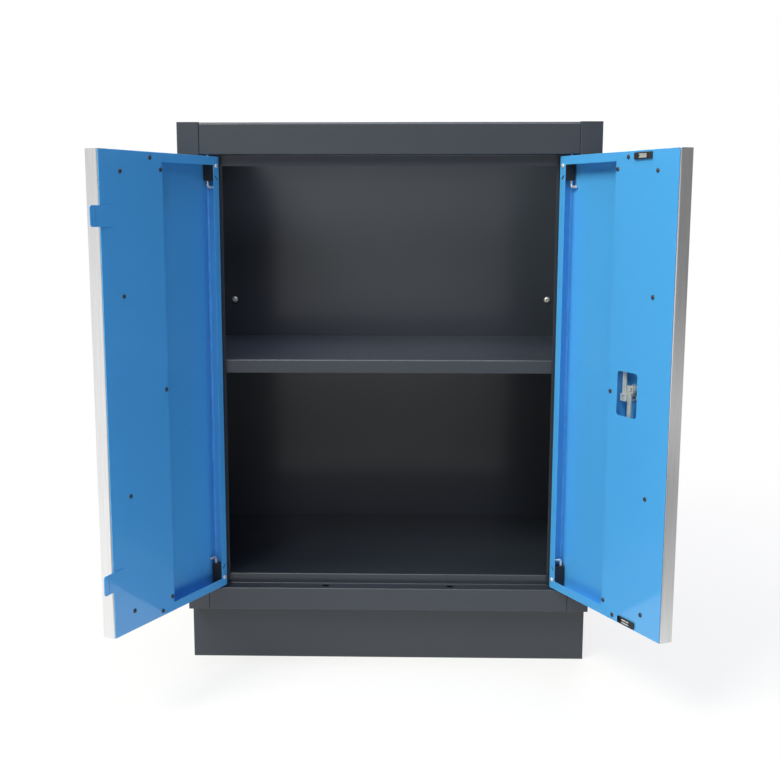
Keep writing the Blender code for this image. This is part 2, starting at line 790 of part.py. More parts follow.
def foot_direction(hand, end):
    """Way in which a pin's bent end points: out of the pan, or towards the free edge and the outer face."""
    if hand * end < 0:
        return Vector((0.0, 1.0, 0.0))
    return Vector((-hand * math.cos(FOOT_TILT), -math.sin(FOOT_TILT), 0.0))


def block_outline():
    """Section of a hinge block, as wide as the hinge flange and clear of the outer sheet."""
    start = SHEET + GAP
    base = start + BLOCK_STANDOFF
    top = FLANGE_LOW - GAP
    return (
        (start + BLOCK_CHAMFER, base),
        (start + BLOCK_WIDTH, base),
        (start + BLOCK_WIDTH, top),
        (start, top),
        (start, base + BLOCK_CHAMFER),
    )


def pin_shape(end):
    """Turned pin with its collar and a round elbow, pointing up or down, on the pivot axis."""
    radius = PIN_DIAMETER / 2
    tip = PIN_REACH
    collar = -BLOCK_END - CHAMBER_ROOF - GAP
    elbow = -BLOCK_END - BLOCK_HEIGHT - PIN_STEM
    profile = [(0.0, tip), (radius * 0.7, tip), (radius, tip - radius * 0.4)]
    profile += [(radius, collar), (COLLAR_DIAMETER / 2, collar)]
    profile += [(COLLAR_DIAMETER / 2, collar - COLLAR_HEIGHT), (radius, collar - COLLAR_HEIGHT)]
    for step in range(4):
        angle = math.pi / 2 * step / 3
        profile.append((radius * math.cos(angle), elbow - radius * math.sin(angle)))
    profile[-1] = (0.0, profile[-1][1])
    shape = turned(profile, 14)
    if end < 0:
        moved(shape, Matrix.Rotation(math.pi, 4, "X"))
    return shape, elbow


def foot_shape(direction):
    """Bent end of a pin, starting as a ball in the elbow."""
    radius = PIN_DIAMETER / 2
    profile = []
    for step in range(4):
        angle = math.pi / 2 * step / 3
        profile.append((radius * math.sin(angle), -radius * math.cos(angle)))
    profile[0] = (0.0, profile[0][1])
    profile += [(radius, PIN_FOOT - radius * 0.4), (radius * 0.7, PIN_FOOT), (0.0, PIN_FOOT)]
    shape = turned(profile, 10)
    bmesh.ops.scale(shape, vec=(0.985, 0.985, 1.0), verts=shape.verts)
    turn = Vector((0.0, 0.0, 1.0)).rotation_difference(direction).to_matrix().to_4x4()
    return moved(shape, turn)


def add_spring(name, parent, low, high):
    """A coil round the pin, as one tube."""
    curve = bpy.data.curves.new(name, "CURVE")
    curve.dimensions = "3D"
    curve.bevel_depth = SPRING_WIRE / 2
    curve.bevel_resolution = 1
    curve.use_fill_caps = True
    per_turn = 8
    count = SPRING_TURNS * per_turn + 1
    spline = curve.splines.new("POLY")
    spline.points.add(count - 1)
    first = low + SPRING_WIRE / 2
    rise = high - low - SPRING_WIRE
    for index in range(count):
        angle = 2 * math.pi * index / per_turn
        level = first + rise * index / (count - 1)
        x = SPRING_MEAN / 2 * math.cos(angle)
        y = SPRING_MEAN / 2 * math.sin(angle)
        spline.points[index].co = (x, y, level, 1.0)
    item = bpy.data.objects.new(name, curve)
    bpy.context.scene.collection.objects.link(item)
    item.parent = parent
    curve.materials.append(finish(name + "_finish", *FINISHES["zinc_steel"]))
    print(name, "least gap between turns", round(rise / SPRING_TURNS - SPRING_WIRE, 5))


def slot_shape(place, u, w, slant):
    """A slanted slot through the hinge flange."""
    spot = Matrix.Translation(place(u, DOOR_DEPTH, w)) @ Matrix.Rotation(slant, 4, "Y")
    half = PARK_SLOT_LENGTH / 2
    shape = box((-PARK_SLOT_WIDTH / 2, -CHANNEL, -half), (PARK_SLOT_WIDTH / 2, CHANNEL, half))
    return moved(shape, spot)


for hand, label in SIDES.items():
    door = empty(label + "_door", frame, (hand * PIVOT_X, PIVOT_DEPTH, 0.0), hand * OPEN_ANGLE)
    place = door_place(hand)

    # Outer pan with return flanges all round
    shell = make(label + "_door_shell", pan(place, 0.0, DOOR_DEPTH), "blue_paint", door)
    cut(shell, pan(place, SHEET, FLANGE_LOW))
    cut(shell, door_box(
        place,
        (HINGE_RETURN, FLANGE_LOW - SHEET, END_RETURN),
        (PAN_WIDTH - FREE_RETURN, DOOR_DEPTH + SHEET, DOOR_HEIGHT - END_RETURN),
    ))
    holes = []
    for u, w in RIVETS["pan"]:
        holes.append(door_bore(place, u, w, RIVET_BORE, FLANGE_LOW - SHEET, DOOR_DEPTH + SHEET))
    for end in ENDS.values():
        low = place(0.0, 0.0, end_level(end, -SHEET)).z
        high = place(0.0, 0.0, end_level(end, 2 * SHEET)).z
        pin_hole = rod(PIN_DIAMETER / 2 + PIN_CLEARANCE, min(low, high), max(low, high), 20)
        holes.append(pin_hole)
        screw_w = end_level(end, SCREW_END)
        screw_bore = SCREW_SHANK / 2 + RIVET_CLEARANCE
        holes.append(door_bore(place, SCREW_EDGE, screw_w, screw_bore, FLANGE_LOW - SHEET, DOOR_DEPTH + SHEET))
        holes.append(slot_shape(place, SCREW_EDGE, end_level(end, PARK_SLOT_END), -hand * end * math.pi / 4))
    if hand > 0:
        for end, u in ((1, UPPER_ROD_U), (-1, LOWER_ROD_U)):
            half = ROD_WIDTH / 2 + STUD_PLAY
            holes.append(door_box(
                place,
                (u - half, ROD_BASE - STUD_PLAY, end_level(end, -SHEET)),
                (u + half, ROD_TOP + STUD_PLAY, end_level(end, 2 * SHEET)),
            ))
        lock_bore = LOCK_BODY / 2 + GAP
        holes.append(door_bore(place, LOCK_U, LOCK_W, lock_bore, -SHEET, 2 * SHEET, 24))
    cut(shell, merged(holes))

    # Inner panel
    panel = door_box(
        place,
        (PANEL_EDGE, DOOR_DEPTH + GAP, PANEL_END_INSET),
        (PANEL_FREE, PANEL_PLANE, DOOR_HEIGHT - PANEL_END_INSET),
    )
    panel = make(label + "_inner_panel", panel, "blue_paint", door)
    holes = []
    for u, w in RIVETS["edge"] + RIVETS["pan"]:
        holes.append(door_bore(place, u, w, RIVET_BORE, DOOR_DEPTH - SHEET, PANEL_PLANE + SHEET))
    if hand > 0:
        window_u = DOOR_WIDTH - WINDOW_FROM_FREE
        window = door_box(
            place,
            (window_u - WINDOW_WIDTH / 2, DOOR_DEPTH - SHEET, LOCK_W - WINDOW_HEIGHT / 2),
            (window_u + WINDOW_WIDTH / 2, PANEL_PLANE + SHEET, LOCK_W + WINDOW_HEIGHT / 2),
        )
        round_edges(window, lambda a, b: abs(a.y - b.y) > SHEET, WINDOW_CORNER, 4)
        holes.append(window)
    cut(panel, merged(holes))

    # Stiffener behind the panel's edge
    far = PANEL_EDGE + SHEET + STIFFENER_FLANGE
    path = (
        (PANEL_EDGE + SHEET, DOOR_DEPTH),
        (far, DOOR_DEPTH),
        (far, SHEET + GAP),
        (PANEL_EDGE + SHEET, SHEET + GAP),
    )
    stiffener = prism(
        folded(path, SHEET, BEND, -1), place, END_RETURN + SHEET, DOOR_HEIGHT - END_RETURN - SHEET,
    )
    stiffener = make(label + "_door_stiffener", stiffener, "blue_paint", door)
    holes = []
    for u, w in RIVETS["edge"]:
        holes.append(door_bore(place, u, w, RIVET_BORE, FLANGE_LOW - SHEET, PANEL_PLANE + SHEET))
    cut(stiffener, merged(holes))

    # Aluminium profile along the free edge
    profile = prism(grip_outline(), place, 0.0, DOOR_HEIGHT)
    make(label + "_handle_profile", profile, "aluminium", door)

    # Hinge blocks, pins, springs and screws
    for part, end in ENDS.items():
        inner = end_level(end, BLOCK_END + BLOCK_HEIGHT)
        outer = end_level(end, BLOCK_END)
        block = prism(block_outline(), place, min(inner, outer), max(inner, outer))
        block = make(label + "_hinge_block_" + part, block, "black_plastic", door)
        roof = place(0.0, 0.0, end_level(end, BLOCK_END + CHAMBER_ROOF)).z
        base = place(0.0, 0.0, end_level(end, BLOCK_END + BLOCK_HEIGHT - CHAMBER_FLOOR)).z
        below = place(0.0, 0.0, end_level(end, 0.0)).z
        above = place(0.0, 0.0, end_level(end, BLOCK_HEIGHT + 3 * SHEET)).z
        narrow = PIN_DIAMETER / 2 + PIN_CLEARANCE
        wide = COLLAR_DIAMETER / 2 + PIN_CLEARANCE
        bore = ((0.0, below), (narrow, below), (narrow, roof), (wide, roof))
        bore += ((wide, base), (narrow, base), (narrow, above), (0.0, above))
        cut(block, turned(bore, 20))
        screw_w = end_level(end, SCREW_END)
        screw_tip = DOOR_DEPTH - SCREW_DEPTH
        screw_bore = SCREW_SHANK / 2 + RIVET_CLEARANCE
        cut(block, door_bore(place, SCREW_EDGE, screw_w, screw_bore, screw_tip - GAP, DOOR_DEPTH))

        screw_head = DOOR_DEPTH + GAP
        screw_profile = (
            (0.0, screw_head + SCREW_HEAD_HEIGHT),
            (SCREW_HEAD * 0.25, screw_head + SCREW_HEAD_HEIGHT * 0.90),
            (SCREW_HEAD * 0.42, screw_head + SCREW_HEAD_HEIGHT * 0.55),
            (SCREW_HEAD * 0.50, screw_head),
            (SCREW_SHANK / 2, screw_head),
            (SCREW_SHANK / 2, screw_tip),
            (0.0, screw_tip),
        )
        spot = Matrix.Translation(place(SCREW_EDGE, 0.0, screw_w)) @ INTO_DEPTH
        screw = moved(turned(screw_profile, 12), spot)
        make(label + "_hinge_screw_" + part, screw, "zinc_steel", door, smooth=True)

        edge_level = place(0.0, 0.0, end_level(end, 0.0)).z
        shape, elbow = pin_shape(end)
        moved(shape, Matrix.Translation((0.0, 0.0, edge_level)))
        pin = make(label + "_hinge_pin_" + part, shape, "zinc_steel", door, smooth=True)
        foot = foot_shape(foot_direction(hand, end))
        join(pin, moved(foot, Matrix.Translation((0.0, 0.0, edge_level + end * elbow))))

        collar_face = BLOCK_END + CHAMBER_ROOF + GAP + COLLAR_HEIGHT + GAP
        floor_face = BLOCK_END + BLOCK_HEIGHT - CHAMBER_FLOOR - GAP
        spring_ends = [
            place(0.0, 0.0, end_level(end, collar_face)).z,
            place(0.0, 0.0, end_level(end, floor_face)).z,
        ]
        add_spring(label + "_hinge_spring_" + part, door, min(spring_ends), max(spring_ends))

    if hand < 0:
        # Lapping tabs that reach behind the other door
        tab_levels = (("upper", DOOR_HEIGHT - TAB_UPPER_FROM_TOP), ("lower", TAB_LOWER_LEVEL))
        for part, level in tab_levels:
            base = PANEL_PLANE + GAP
            knee = DOOR_WIDTH + TAB_BEND
            path = (
                (DOOR_WIDTH - TAB_LAP, base),
                (knee, base),
                (knee + TAB_JOGGLE * 2, base + TAB_JOGGLE),
                (DOOR_WIDTH + TAB_REACH, base + TAB_JOGGLE),
            )
            tab = prism(
                folded(path, TAB_SHEET, BEND / 2, 1), place, level - TAB_HEIGHT / 2, level + TAB_HEIGHT / 2,
            )
            tip = place(DOOR_WIDTH + TAB_REACH, 0.0, 0.0).x
            round_edges(
                tab,
                lambda a, b: abs(a.x - tip) < GAP / 10 and abs(b.x - tip) < GAP / 10 and abs(a.z - b.z) < GAP,
                TAB_CORNER, 4,
            )
            make("left_catch_tab_" + part, tab, "blue_paint", door)
    else:
        # Magnetic catches
        for part, end in ENDS.items():
            near_w = end_level(end, CATCH_END_INSET)
            far_w = end_level(end, CATCH_END_INSET + CATCH_HEIGHT)
            catch_u = DOOR_WIDTH - CATCH_FROM_FREE
            base = PANEL_PLANE + GAP
            body = door_box(
                place,
                (catch_u - CATCH_LENGTH / 2, base, near_w),
                (catch_u + CATCH_LENGTH / 2, CATCH_PLANE, far_w),
            )
            round_edges(body, lambda a, b: abs(a.y - b.y) > SHEET, BEND, 2)
            body = make("right_magnet_catch_" + part, body, "black_plastic", door)
            middle_w = (near_w + far_w) / 2
            foot = CATCH_PLANE - POLE_DEPTH
            valley = foot + POLE_DEPTH / 2
            crest = CATCH_PLANE + POLE_PROUD
            outside = (POLE_SPREAD + POLE_WIDTH) / 2
            inside = (POLE_SPREAD - POLE_WIDTH) / 2
            pole_outline = (
                (-outside, foot), (outside, foot), (outside, crest), (inside, crest),
                (inside, valley), (-inside, valley), (-inside, crest), (-outside, crest),
            )
            poles = prism(
                pole_outline, lambda a, b, level: place(level, b, middle_w + a),
                catch_u - POLE_LENGTH / 2, catch_u + POLE_LENGTH / 2,
            )
            make("right_magnet_poles_" + part, poles, "zinc_steel", door)
            half_long = POLE_LENGTH / 2 + CATCH_CLEARANCE
            half_high = outside + CATCH_CLEARANCE
            cut(body, door_box(
                place,
                (catch_u - half_long, foot - GAP, middle_w - half_high),
                (catch_u + half_long, crest + BEND, middle_w + half_high),
            ))

        # Lock: housing, ring nut, plug, cam and nut on one axis through the door
        axis = empty("lock_axis", door, place(LOCK_U, 0.0, LOCK_W))
        plug_bore = PLUG_DIAMETER / 2 + GAP
        housing_profile = (
            (plug_bore, -LOCK_HEAD_HEIGHT),
            (LOCK_HEAD / 2 - BEND, -LOCK_HEAD_HEIGHT),
            (LOCK_HEAD / 2, -LOCK_HEAD_HEIGHT + BEND),
            (LOCK_HEAD / 2, -GAP),
            (LOCK_BODY / 2, -GAP),
            (LOCK_BODY / 2, LOCK_BODY_LENGTH),
            (plug_bore, LOCK_BODY_LENGTH),
        )
        housing = moved(turned(housing_profile, 28, closed=True), INTO_DEPTH)
        make("lock_housing", housing, "zinc_steel", axis, smooth=True)
        ring_low = SHEET + GAP
        ring_bore = LOCK_BODY + 2 * GAP
        ring = hexagon(LOCK_RING_ACROSS, ring_low, ring_low + LOCK_RING_HEIGHT, ring_bore)
        make("lock_ring_nut", moved(ring, INTO_DEPTH), "zinc_steel", axis)

        plug_profile = (
            (0.0, -LOCK_HEAD_HEIGHT + GAP),
            (PLUG_DIAMETER / 2, -LOCK_HEAD_HEIGHT + GAP),
            (PLUG_DIAMETER / 2, LOCK_BODY_LENGTH + GAP),
            (PLUG_STEM / 2, LOCK_BODY_LENGTH + GAP),
            (PLUG_STEM / 2, CAM_NUT_TOP),
            (0.0, CAM_NUT_TOP),
        )
        plug = make("lock_plug", moved(turned(plug_profile, 24), INTO_DEPTH), "zinc_steel", axis, smooth=True)
        cut(plug, box(
            (-KEYWAY_WIDTH / 2, -LOCK_HEAD_HEIGHT - BEND, -KEYWAY_LENGTH / 2),
            (KEYWAY_WIDTH / 2, -LOCK_HEAD_HEIGHT + KEYWAY_DEPTH, KEYWAY_LENGTH / 2),
        ))

        # Cam at rest: one stud low on the hinge side, one stud high on the free side
        spots = ((STUD_OFFSET, -STUD_OFFSET), (-STUD_OFFSET, STUD_OFFSET))
        cam_outline = []
        for index, (x, z) in enumerate(spots):
            heading = math.atan2(z, x)
            for step in range(9):
                angle = heading - math.pi / 2 + math.pi * step / 8
                cam_outline.append((x + CAM_END * math.cos(angle), z + CAM_END * math.sin(angle)))
        cam = make("lock_cam", prism(cam_outline, along_y, CAM_BASE, CAM_TOP), "zinc_steel", axis)
        cut(cam, moved(rod(PLUG_STEM / 2 + GAP, CAM_BASE - SHEET, CAM_TOP + SHEET, 20), INTO_DEPTH))
        studs = []
        for x, z in spots:
            stud = rod(STUD_DIAMETER / 2, CAM_BASE + GAP, ROD_TOP + GAP, 16)
            studs.append(moved(stud, Matrix.Translation((x, 0.0, z)) @ INTO_DEPTH))
        join(cam, merged(studs))
        nut = hexagon(CAM_NUT_ACROSS, CAM_TOP + GAP, CAM_NUT_TOP, PLUG_STEM + 2 * GAP)
        make("lock_cam_nut", moved(nut, INTO_DEPTH), "zinc_steel", axis)

        # Rods: flat bars, each with a yoke that one stud drives
        play = STUD_DIAMETER / 2 + STUD_PLAY
        for part, end, rod_u in (("upper", 1, UPPER_ROD_U), ("lower", -1, LOWER_ROD_U)):
            away = -end
            stud_w = LOCK_W - end * STUD_OFFSET
            tip = end_level(end, GAP)
            slot_near = rod_u - away * play
            slot_far = LOCK_U + away * (CAM_RADIUS + play)
            line = place(rod_u, ROD_MIDDLE, stud_w)
            bar = door_box(
                place,
                (rod_u - ROD_WIDTH / 2, ROD_BASE, stud_w),
                (rod_u + ROD_WIDTH / 2, ROD_TOP, tip),
            )
            bar = make("lock_rod_" + part, bar, "zinc_steel", door, origin=line)
            yoke = door_box(
                place,
                (slot_near - away * YOKE_RIM, ROD_BASE, stud_w - play - YOKE_RIM),
                (slot_far + away * YOKE_RIM, ROD_TOP, stud_w + play + YOKE_RIM),
            )
            round_edges(yoke, lambda a, b: abs(a.y - b.y) > SHEET, 2 * BEND, 3)
            join(bar, yoke)
            slot = door_box(
                place,
                (slot_near, ROD_BASE - SHEET, stud_w - play),
                (slot_far, ROD_TOP + SHEET, stud_w + play),
            )
            cut(bar, slot)

print("pivot", round(PIVOT_X, 5), round(PIVOT_DEPTH - FRAME_OFFSET, 5), "stop depth", round(STOP_DEPTH, 5))
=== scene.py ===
"""Looks of the workshop base cabinet: paint and metal finishes, fine fittings, floor, light and camera."""
import json
import math

import bmesh
import bpy
from mathutils import Matrix, Vector


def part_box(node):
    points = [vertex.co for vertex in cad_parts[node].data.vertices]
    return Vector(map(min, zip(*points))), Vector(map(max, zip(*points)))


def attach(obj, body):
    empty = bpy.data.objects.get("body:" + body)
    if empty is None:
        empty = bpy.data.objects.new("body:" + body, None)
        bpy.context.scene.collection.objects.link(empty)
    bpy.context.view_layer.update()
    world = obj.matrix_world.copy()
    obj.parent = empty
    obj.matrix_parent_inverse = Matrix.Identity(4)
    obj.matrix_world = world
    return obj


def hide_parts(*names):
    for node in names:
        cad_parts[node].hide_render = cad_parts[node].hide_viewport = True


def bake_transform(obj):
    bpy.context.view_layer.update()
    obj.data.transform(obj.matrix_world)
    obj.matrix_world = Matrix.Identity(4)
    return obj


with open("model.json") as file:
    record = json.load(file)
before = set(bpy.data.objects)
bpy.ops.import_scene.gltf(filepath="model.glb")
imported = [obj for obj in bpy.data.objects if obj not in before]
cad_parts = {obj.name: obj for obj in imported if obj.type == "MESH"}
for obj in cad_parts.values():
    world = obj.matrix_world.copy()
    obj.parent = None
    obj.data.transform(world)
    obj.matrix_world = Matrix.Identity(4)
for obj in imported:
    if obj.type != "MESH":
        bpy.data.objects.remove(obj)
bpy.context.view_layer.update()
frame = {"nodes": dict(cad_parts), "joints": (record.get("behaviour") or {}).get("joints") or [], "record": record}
SOLIDS = frame["nodes"]
BODY_OF = {}
for body_name, members in frame["record"]["behaviour"]["bodies"].items():
    for member in members:
        BODY_OF[member] = body_name
SLOT_OF = {}
for subpart in frame["record"]["subparts"]:
    SLOT_OF[subpart["node"]] = subpart["material_slot"]

HANDS = {"right": 1, "left": -1}
ENDS = {"upper": 1, "lower": -1}

# Places that the frame gives, in metres and radians
HINGE = [joint for joint in frame["joints"] if joint["name"] == "right_door_hinge"][0]
PIVOT_X = HINGE["pos_m"][0]
PIVOT_Y = HINGE["pos_m"][1]
OPEN_ANGLE = -math.radians(HINGE["range_deg"][0])
DOOR_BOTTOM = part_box("right_door_shell")[0][2]
DOOR_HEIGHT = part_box("right_door_shell")[1][2] - DOOR_BOTTOM

# Sizes that the fittings share with the solids, in metres
PIVOT_INSET = 0.0087642
PIVOT_DEPTH = 0.007
PANEL_PLANE = 0.0241
SCREW_PLANE = 0.0231
SCREW_INSET = 0.0075
SCREW_FROM_END = 0.015
PIN_FOOT_TILT = math.radians(15.0)
BOLT_SEAT = 0.3839
LOCK_INSET = 0.1881
LOCK_LEVEL = DOOR_HEIGHT / 2

# Rivets on a door: distance of each row from the hinge edge, then levels above the lower edge
RIVET_ROWS = (
    (0.1574, (0.0250, DOOR_HEIGHT / 2, DOOR_HEIGHT - 0.0250)),
    (0.1824, (0.0085, DOOR_HEIGHT - 0.0085)),
    (0.2527, (0.0300, DOOR_HEIGHT / 2 - 0.1490, DOOR_HEIGHT / 2 + 0.1490, DOOR_HEIGHT - 0.0300)),
)

# Radii of the broken edges, and widths under which a face counts as an edge that is painted lighter, as rubbed
# wear and as a painted highlight, in metres
SHEET_EDGE = 0.00022
THIN_EDGE = 0.00020
PROFILE_EDGE = 0.00025
MOULDING_EDGE = 0.00040
CATCH_EDGE = 0.00035
SMALL_EDGE = 0.00012
WEAR_AND_HIGHLIGHT_WIDTH = 0.0013
LOCK_WEAR_AND_HIGHLIGHT_WIDTH = 0.0006
POLE_WEAR_AND_HIGHLIGHT_WIDTH = 0.0004

# Closeness at which two corners are one, in new pieces and in copies of solids, in metres
MERGE = 0.000002
COPY_MERGE = 0.000005
FLAT_ANGLE = math.radians(0.5)


# Finishes
def pick(sockets, name):
    """A socket by its identifier, or else by the name it shows."""
    for socket in sockets:
        if socket.identifier == name:
            return socket
    return sockets[name]


class Value:
    """What comes out of a node, so that sums on it can be written plainly."""

    def __init__(self, finish, socket):
        self.finish = finish
        self.socket = socket

    def __add__(self, other):
        return self.finish.sum("ADD", self, other)

    def __radd__(self, other):
        return self.finish.sum("ADD", other, self)

    def __sub__(self, other):
        return self.finish.sum("SUBTRACT", self, other)

    def __rsub__(self, other):
        return self.finish.sum("SUBTRACT", other, self)

    def __mul__(self, other):
        return self.finish.sum("MULTIPLY", self, other)

    def __rmul__(self, other):
        return self.finish.sum("MULTIPLY", other, self)

    def most(self, other):
        """The larger of two values."""
        return self.finish.sum("MAXIMUM", self, other)

    def between(self, low, high):
        """0 at low, 1 at high and a soft step between them, whichever of the two is larger."""
        return self.finish.node(
            "MapRange", {"interpolation_type": "SMOOTHSTEP"},
            {"Value": self, "From Min": low, "From Max": high}, "Result",
        )


class Finish:
    """One finish: a node tree and the shader at its end."""

    def __init__(self, name, holder=None):
        self.holder = holder or bpy.data.materials.new(name)
        self.holder.use_nodes = True
        self.tree = self.holder.node_tree
        self.shader = self.tree.nodes.get("Principled BSDF")

    def feed(self, socket, value):
        """Links a value to a socket, or sets the socket to a number or colour."""
        if isinstance(value, Value):
            self.tree.links.new(value.socket, socket)
            return
        if hasattr(value, "__len__") and len(value) == 3 and socket.type == "RGBA":
            value = (*value, 1.0)
        socket.default_value = value

    def node(self, kind, settings=None, sockets=None, output=None):
        """Adds a node: its settings first, then what its sockets hold or are fed by."""
        made = self.tree.nodes.new("ShaderNode" + kind)
        for name, value in (settings or {}).items():
            setattr(made, name, value)
        for name, value in (sockets or {}).items():
            self.feed(pick(made.inputs, name), value)
        if output is None:
            return Value(self, made.outputs[0])
        return Value(self, pick(made.outputs, output))

    def sum(self, operation, first, second):
        """One step of arithmetic."""
        return self.node("Math", {"operation": operation}, {0: first, 1: second})

    def part(self, vector, axis):
        """A vector's part along X, Y or Z."""
        return self.node("SeparateXYZ", None, {"Vector": vector}, axis)

    def where(self, stretch=None, turn=0.0):
        """Place on the piece, in metres, stretched or turned about the upright where asked."""
        spot = self.node("TexCoord", output="Object")
        if stretch is None and turn == 0.0:
            return spot
        if turn != 0.0:
            spot = self.node("Mapping", None, {"Vector": spot, "Rotation": (0.0, 0.0, turn)})
        return self.node("Mapping", None, {"Vector": spot, "Scale": stretch or (1.0, 1.0, 1.0)})

    def noise(self, scale, detail=2.0, rough=0.5, stretch=None, turn=0.0):
        return self.node(
            "TexNoise", None,
            {"Vector": self.where(stretch, turn), "Scale": scale, "Detail": detail, "Roughness": rough},
            "Fac",
        )

    def cells(self, scale):
        return self.node("TexVoronoi", None, {"Vector": self.where(), "Scale": scale}, "Distance")

    def wear_and_highlight_edge(self):
        """1 on the faces that mark_edges noted, which the finishes paint lighter, as rubbed wear and as a painted
        edge highlight.
        """
        return self.node("Attribute", {"attribute_name": "edge"}, output="Fac")

    def blend(self, amount, first, second):
        """A colour between two colours."""
        return self.node(
            "Mix", {"data_type": "RGBA"},
            {"Factor_Float": amount, "A_Color": first, "B_Color": second}, "Result_Color",
        )

    def facing(self, axis):
        """How far a surface faces along X, Y or Z, as it lies at rest."""
        return self.part(self.node("TexCoord", output="Normal"), axis)

    def relief(self, height, depth, strength, under=None):
        """A bump of that height and depth, on top of another one where given."""
        sockets = {"Height": height, "Distance": depth, "Strength": strength}
        if under is not None:
            sockets["Normal"] = under
        return self.node("Bump", None, sockets, "Normal")

    def shade(self, **sockets):
        """Feeds the shader's own sockets and hands back the finish."""
        for name, value in sockets.items():
            self.feed(self.shader.inputs[name.replace("_", " ")], value)
        return self.holder


def tone(colour, factor):
    """A colour made lighter or darker."""
    return tuple(part * factor for part in colour)


def powder_coat(name, colour, roughness):
    """Sprayed powder paint: orange peel, slow drift of tone, edges painted lighter as rubbed wear and as painted
    highlights, and faint scuffs.
    """
    paint = Finish(name)
    drift = paint.noise(7.0, 3.0)
    grain = paint.noise(1500.0, 2.0)
    skin = paint.noise(260.0, 2.0, 0.55)
    waves = paint.noise(5.0, 1.0)
    patchy = paint.noise(55.0, 3.0).between(0.40, 0.66)
    # Narrow edge faces painted lighter: partly rubbed wear, partly a painted highlight along the folds.
    rub_and_highlight = paint.wear_and_highlight_edge() * (0.35 + 0.65 * patchy)
    streak = paint.noise(34.0, 4.0, 0.62, (1.0, 6.0, 1.0), 0.5).between(0.63, 0.72)
    flat = paint.facing("Z").between(0.90, 0.99)
    scuff = streak * flat
    speck = paint.cells(700.0).between(0.30, 0.12)
    dust = flat * speck * paint.noise(20.0, 2.0).between(0.45, 0.75)
    body = paint.blend(drift, tone(colour, 0.93), tone(colour, 1.07))
    body = paint.blend(grain.between(0.25, 0.75) * 0.35, body, tone(colour, 1.14))
    body = paint.blend(rub_and_highlight * 0.55, body, tone(colour, 1.55))
    body = paint.blend(scuff * 0.30, body, tone(colour, 2.1))
    body = paint.blend(dust * 0.05, body, (0.36, 0.35, 0.33))
    rough = roughness + 0.10 * (drift - 0.5) + 0.06 * (grain - 0.5) + 0.12 * scuff - 0.05 * rub_and_highlight
    wavy = paint.relief(waves, 0.0016, 0.10)
    peeled = paint.relief(skin, 0.00020, 0.35, wavy)
    normal = paint.relief(grain, 0.00006, 0.30, peeled)
    return paint.shade(
        Base_Color=body, Roughness=rough, Normal=normal, Specular_IOR_Level=0.50,
        Coat_Weight=0.5, Coat_Roughness=0.16,
    )


def gloss_coat(name, colour, roughness):
    """Gloss paint on thin sheet: slight waves that bend reflections, fine orange peel, edges painted lighter as
    rubbed wear and as painted highlights.
    """
    paint = Finish(name)
    drift = paint.noise(4.0, 2.0)
    grain = paint.noise(1800.0, 2.0)
    skin = paint.noise(210.0, 2.0, 0.5)
    waves = paint.noise(4.5, 1.0, 0.4, (1.0, 1.0, 0.55))
    patchy = paint.noise(60.0, 3.0).between(0.40, 0.65)
    # Narrow edge faces painted lighter: partly rubbed wear, partly a painted highlight along the folds.
    rub_and_highlight = paint.wear_and_highlight_edge() * (0.30 + 0.70 * patchy)
    hair = paint.noise(60.0, 4.0, 0.6, (1.0, 1.0, 0.06), 0.4).between(0.70, 0.76)
    body = paint.blend(drift, tone(colour, 0.96), tone(colour, 1.04))
    body = paint.blend(grain.between(0.30, 0.80) * 0.15, body, tone(colour, 1.12))
    body = paint.blend(rub_and_highlight * 0.40, body, tone(colour, 1.45))
    rough = roughness + 0.06 * (drift - 0.5) + 0.05 * hair + 0.04 * (grain - 0.5)
    wavy = paint.relief(waves, 0.004, 0.12)
    peeled = paint.relief(skin, 0.00022, 0.12, wavy)
    return paint.shade(
        Base_Color=body, Roughness=rough, Normal=peeled, Specular_IOR_Level=0.15,
        Coat_Weight=1.0, Coat_Roughness=0.06,
    )


def drawn_aluminium(name):
    """Satin extruded aluminium with die lines along its length, and edges painted lighter as nicks and as painted
    highlights.
    """
    metal = Finish(name)
    lines = metal.noise(1400.0, 3.0, 0.6, (1.0, 1.0, 0.012))
    broad = metal.noise(240.0, 2.0, 0.5, (1.0, 1.0, 0.02))
    cloud = metal.noise(9.0, 3.0)
    # Edge faces painted lighter in patches: partly nicks, partly a painted highlight.
    nick_and_highlight = metal.wear_and_highlight_edge() * metal.noise(90.0, 3.0).between(0.52, 0.70)
    body = metal.blend(lines.between(0.25, 0.75), (0.78, 0.78, 0.79), (0.90, 0.90, 0.905))
    body = metal.blend(cloud.between(0.35, 0.7) * 0.25, body, (0.82, 0.81, 0.80))
    body = metal.blend(nick_and_highlight * 0.5, body, (0.94, 0.94, 0.94))
    rough = 0.22 + 0.10 * (lines - 0.5) + 0.08 * (broad - 0.5) + 0.06 * (cloud - 0.5)
    ribbed = metal.relief(lines, 0.00005, 0.30)
    normal = metal.relief(broad, 0.00012, 0.20, ribbed)
    return metal.shade(Base_Color=body, Roughness=rough, Metallic=1.0, Normal=normal)


def zinc_plate(name, colour):
    """Bright zinc on steel: crystalline spangle and a faint yellow and blue cast."""
    metal = Finish(name)
    spangle = metal.cells(900.0)
    cast = metal.noise(160.0, 2.0)
    fine = metal.noise(2600.0, 2.0)
    body = metal.blend(cast.between(0.35, 0.65), tone(colour, 0.92), tone(colour, 1.05))
    body = metal.blend(cast.between(0.55, 0.75) * 0.20, body, (0.72, 0.69, 0.60))
    body = metal.blend(cast.between(0.45, 0.25) * 0.20, body, (0.66, 0.70, 0.76))
    rough = 0.26 + 0.10 * spangle.between(0.0, 0.7) + 0.08 * (fine - 0.5)
    normal = metal.relief(fine, 0.00003, 0.35)
    return metal.shade(Base_Color=body, Roughness=rough, Metallic=0.6, Normal=normal)


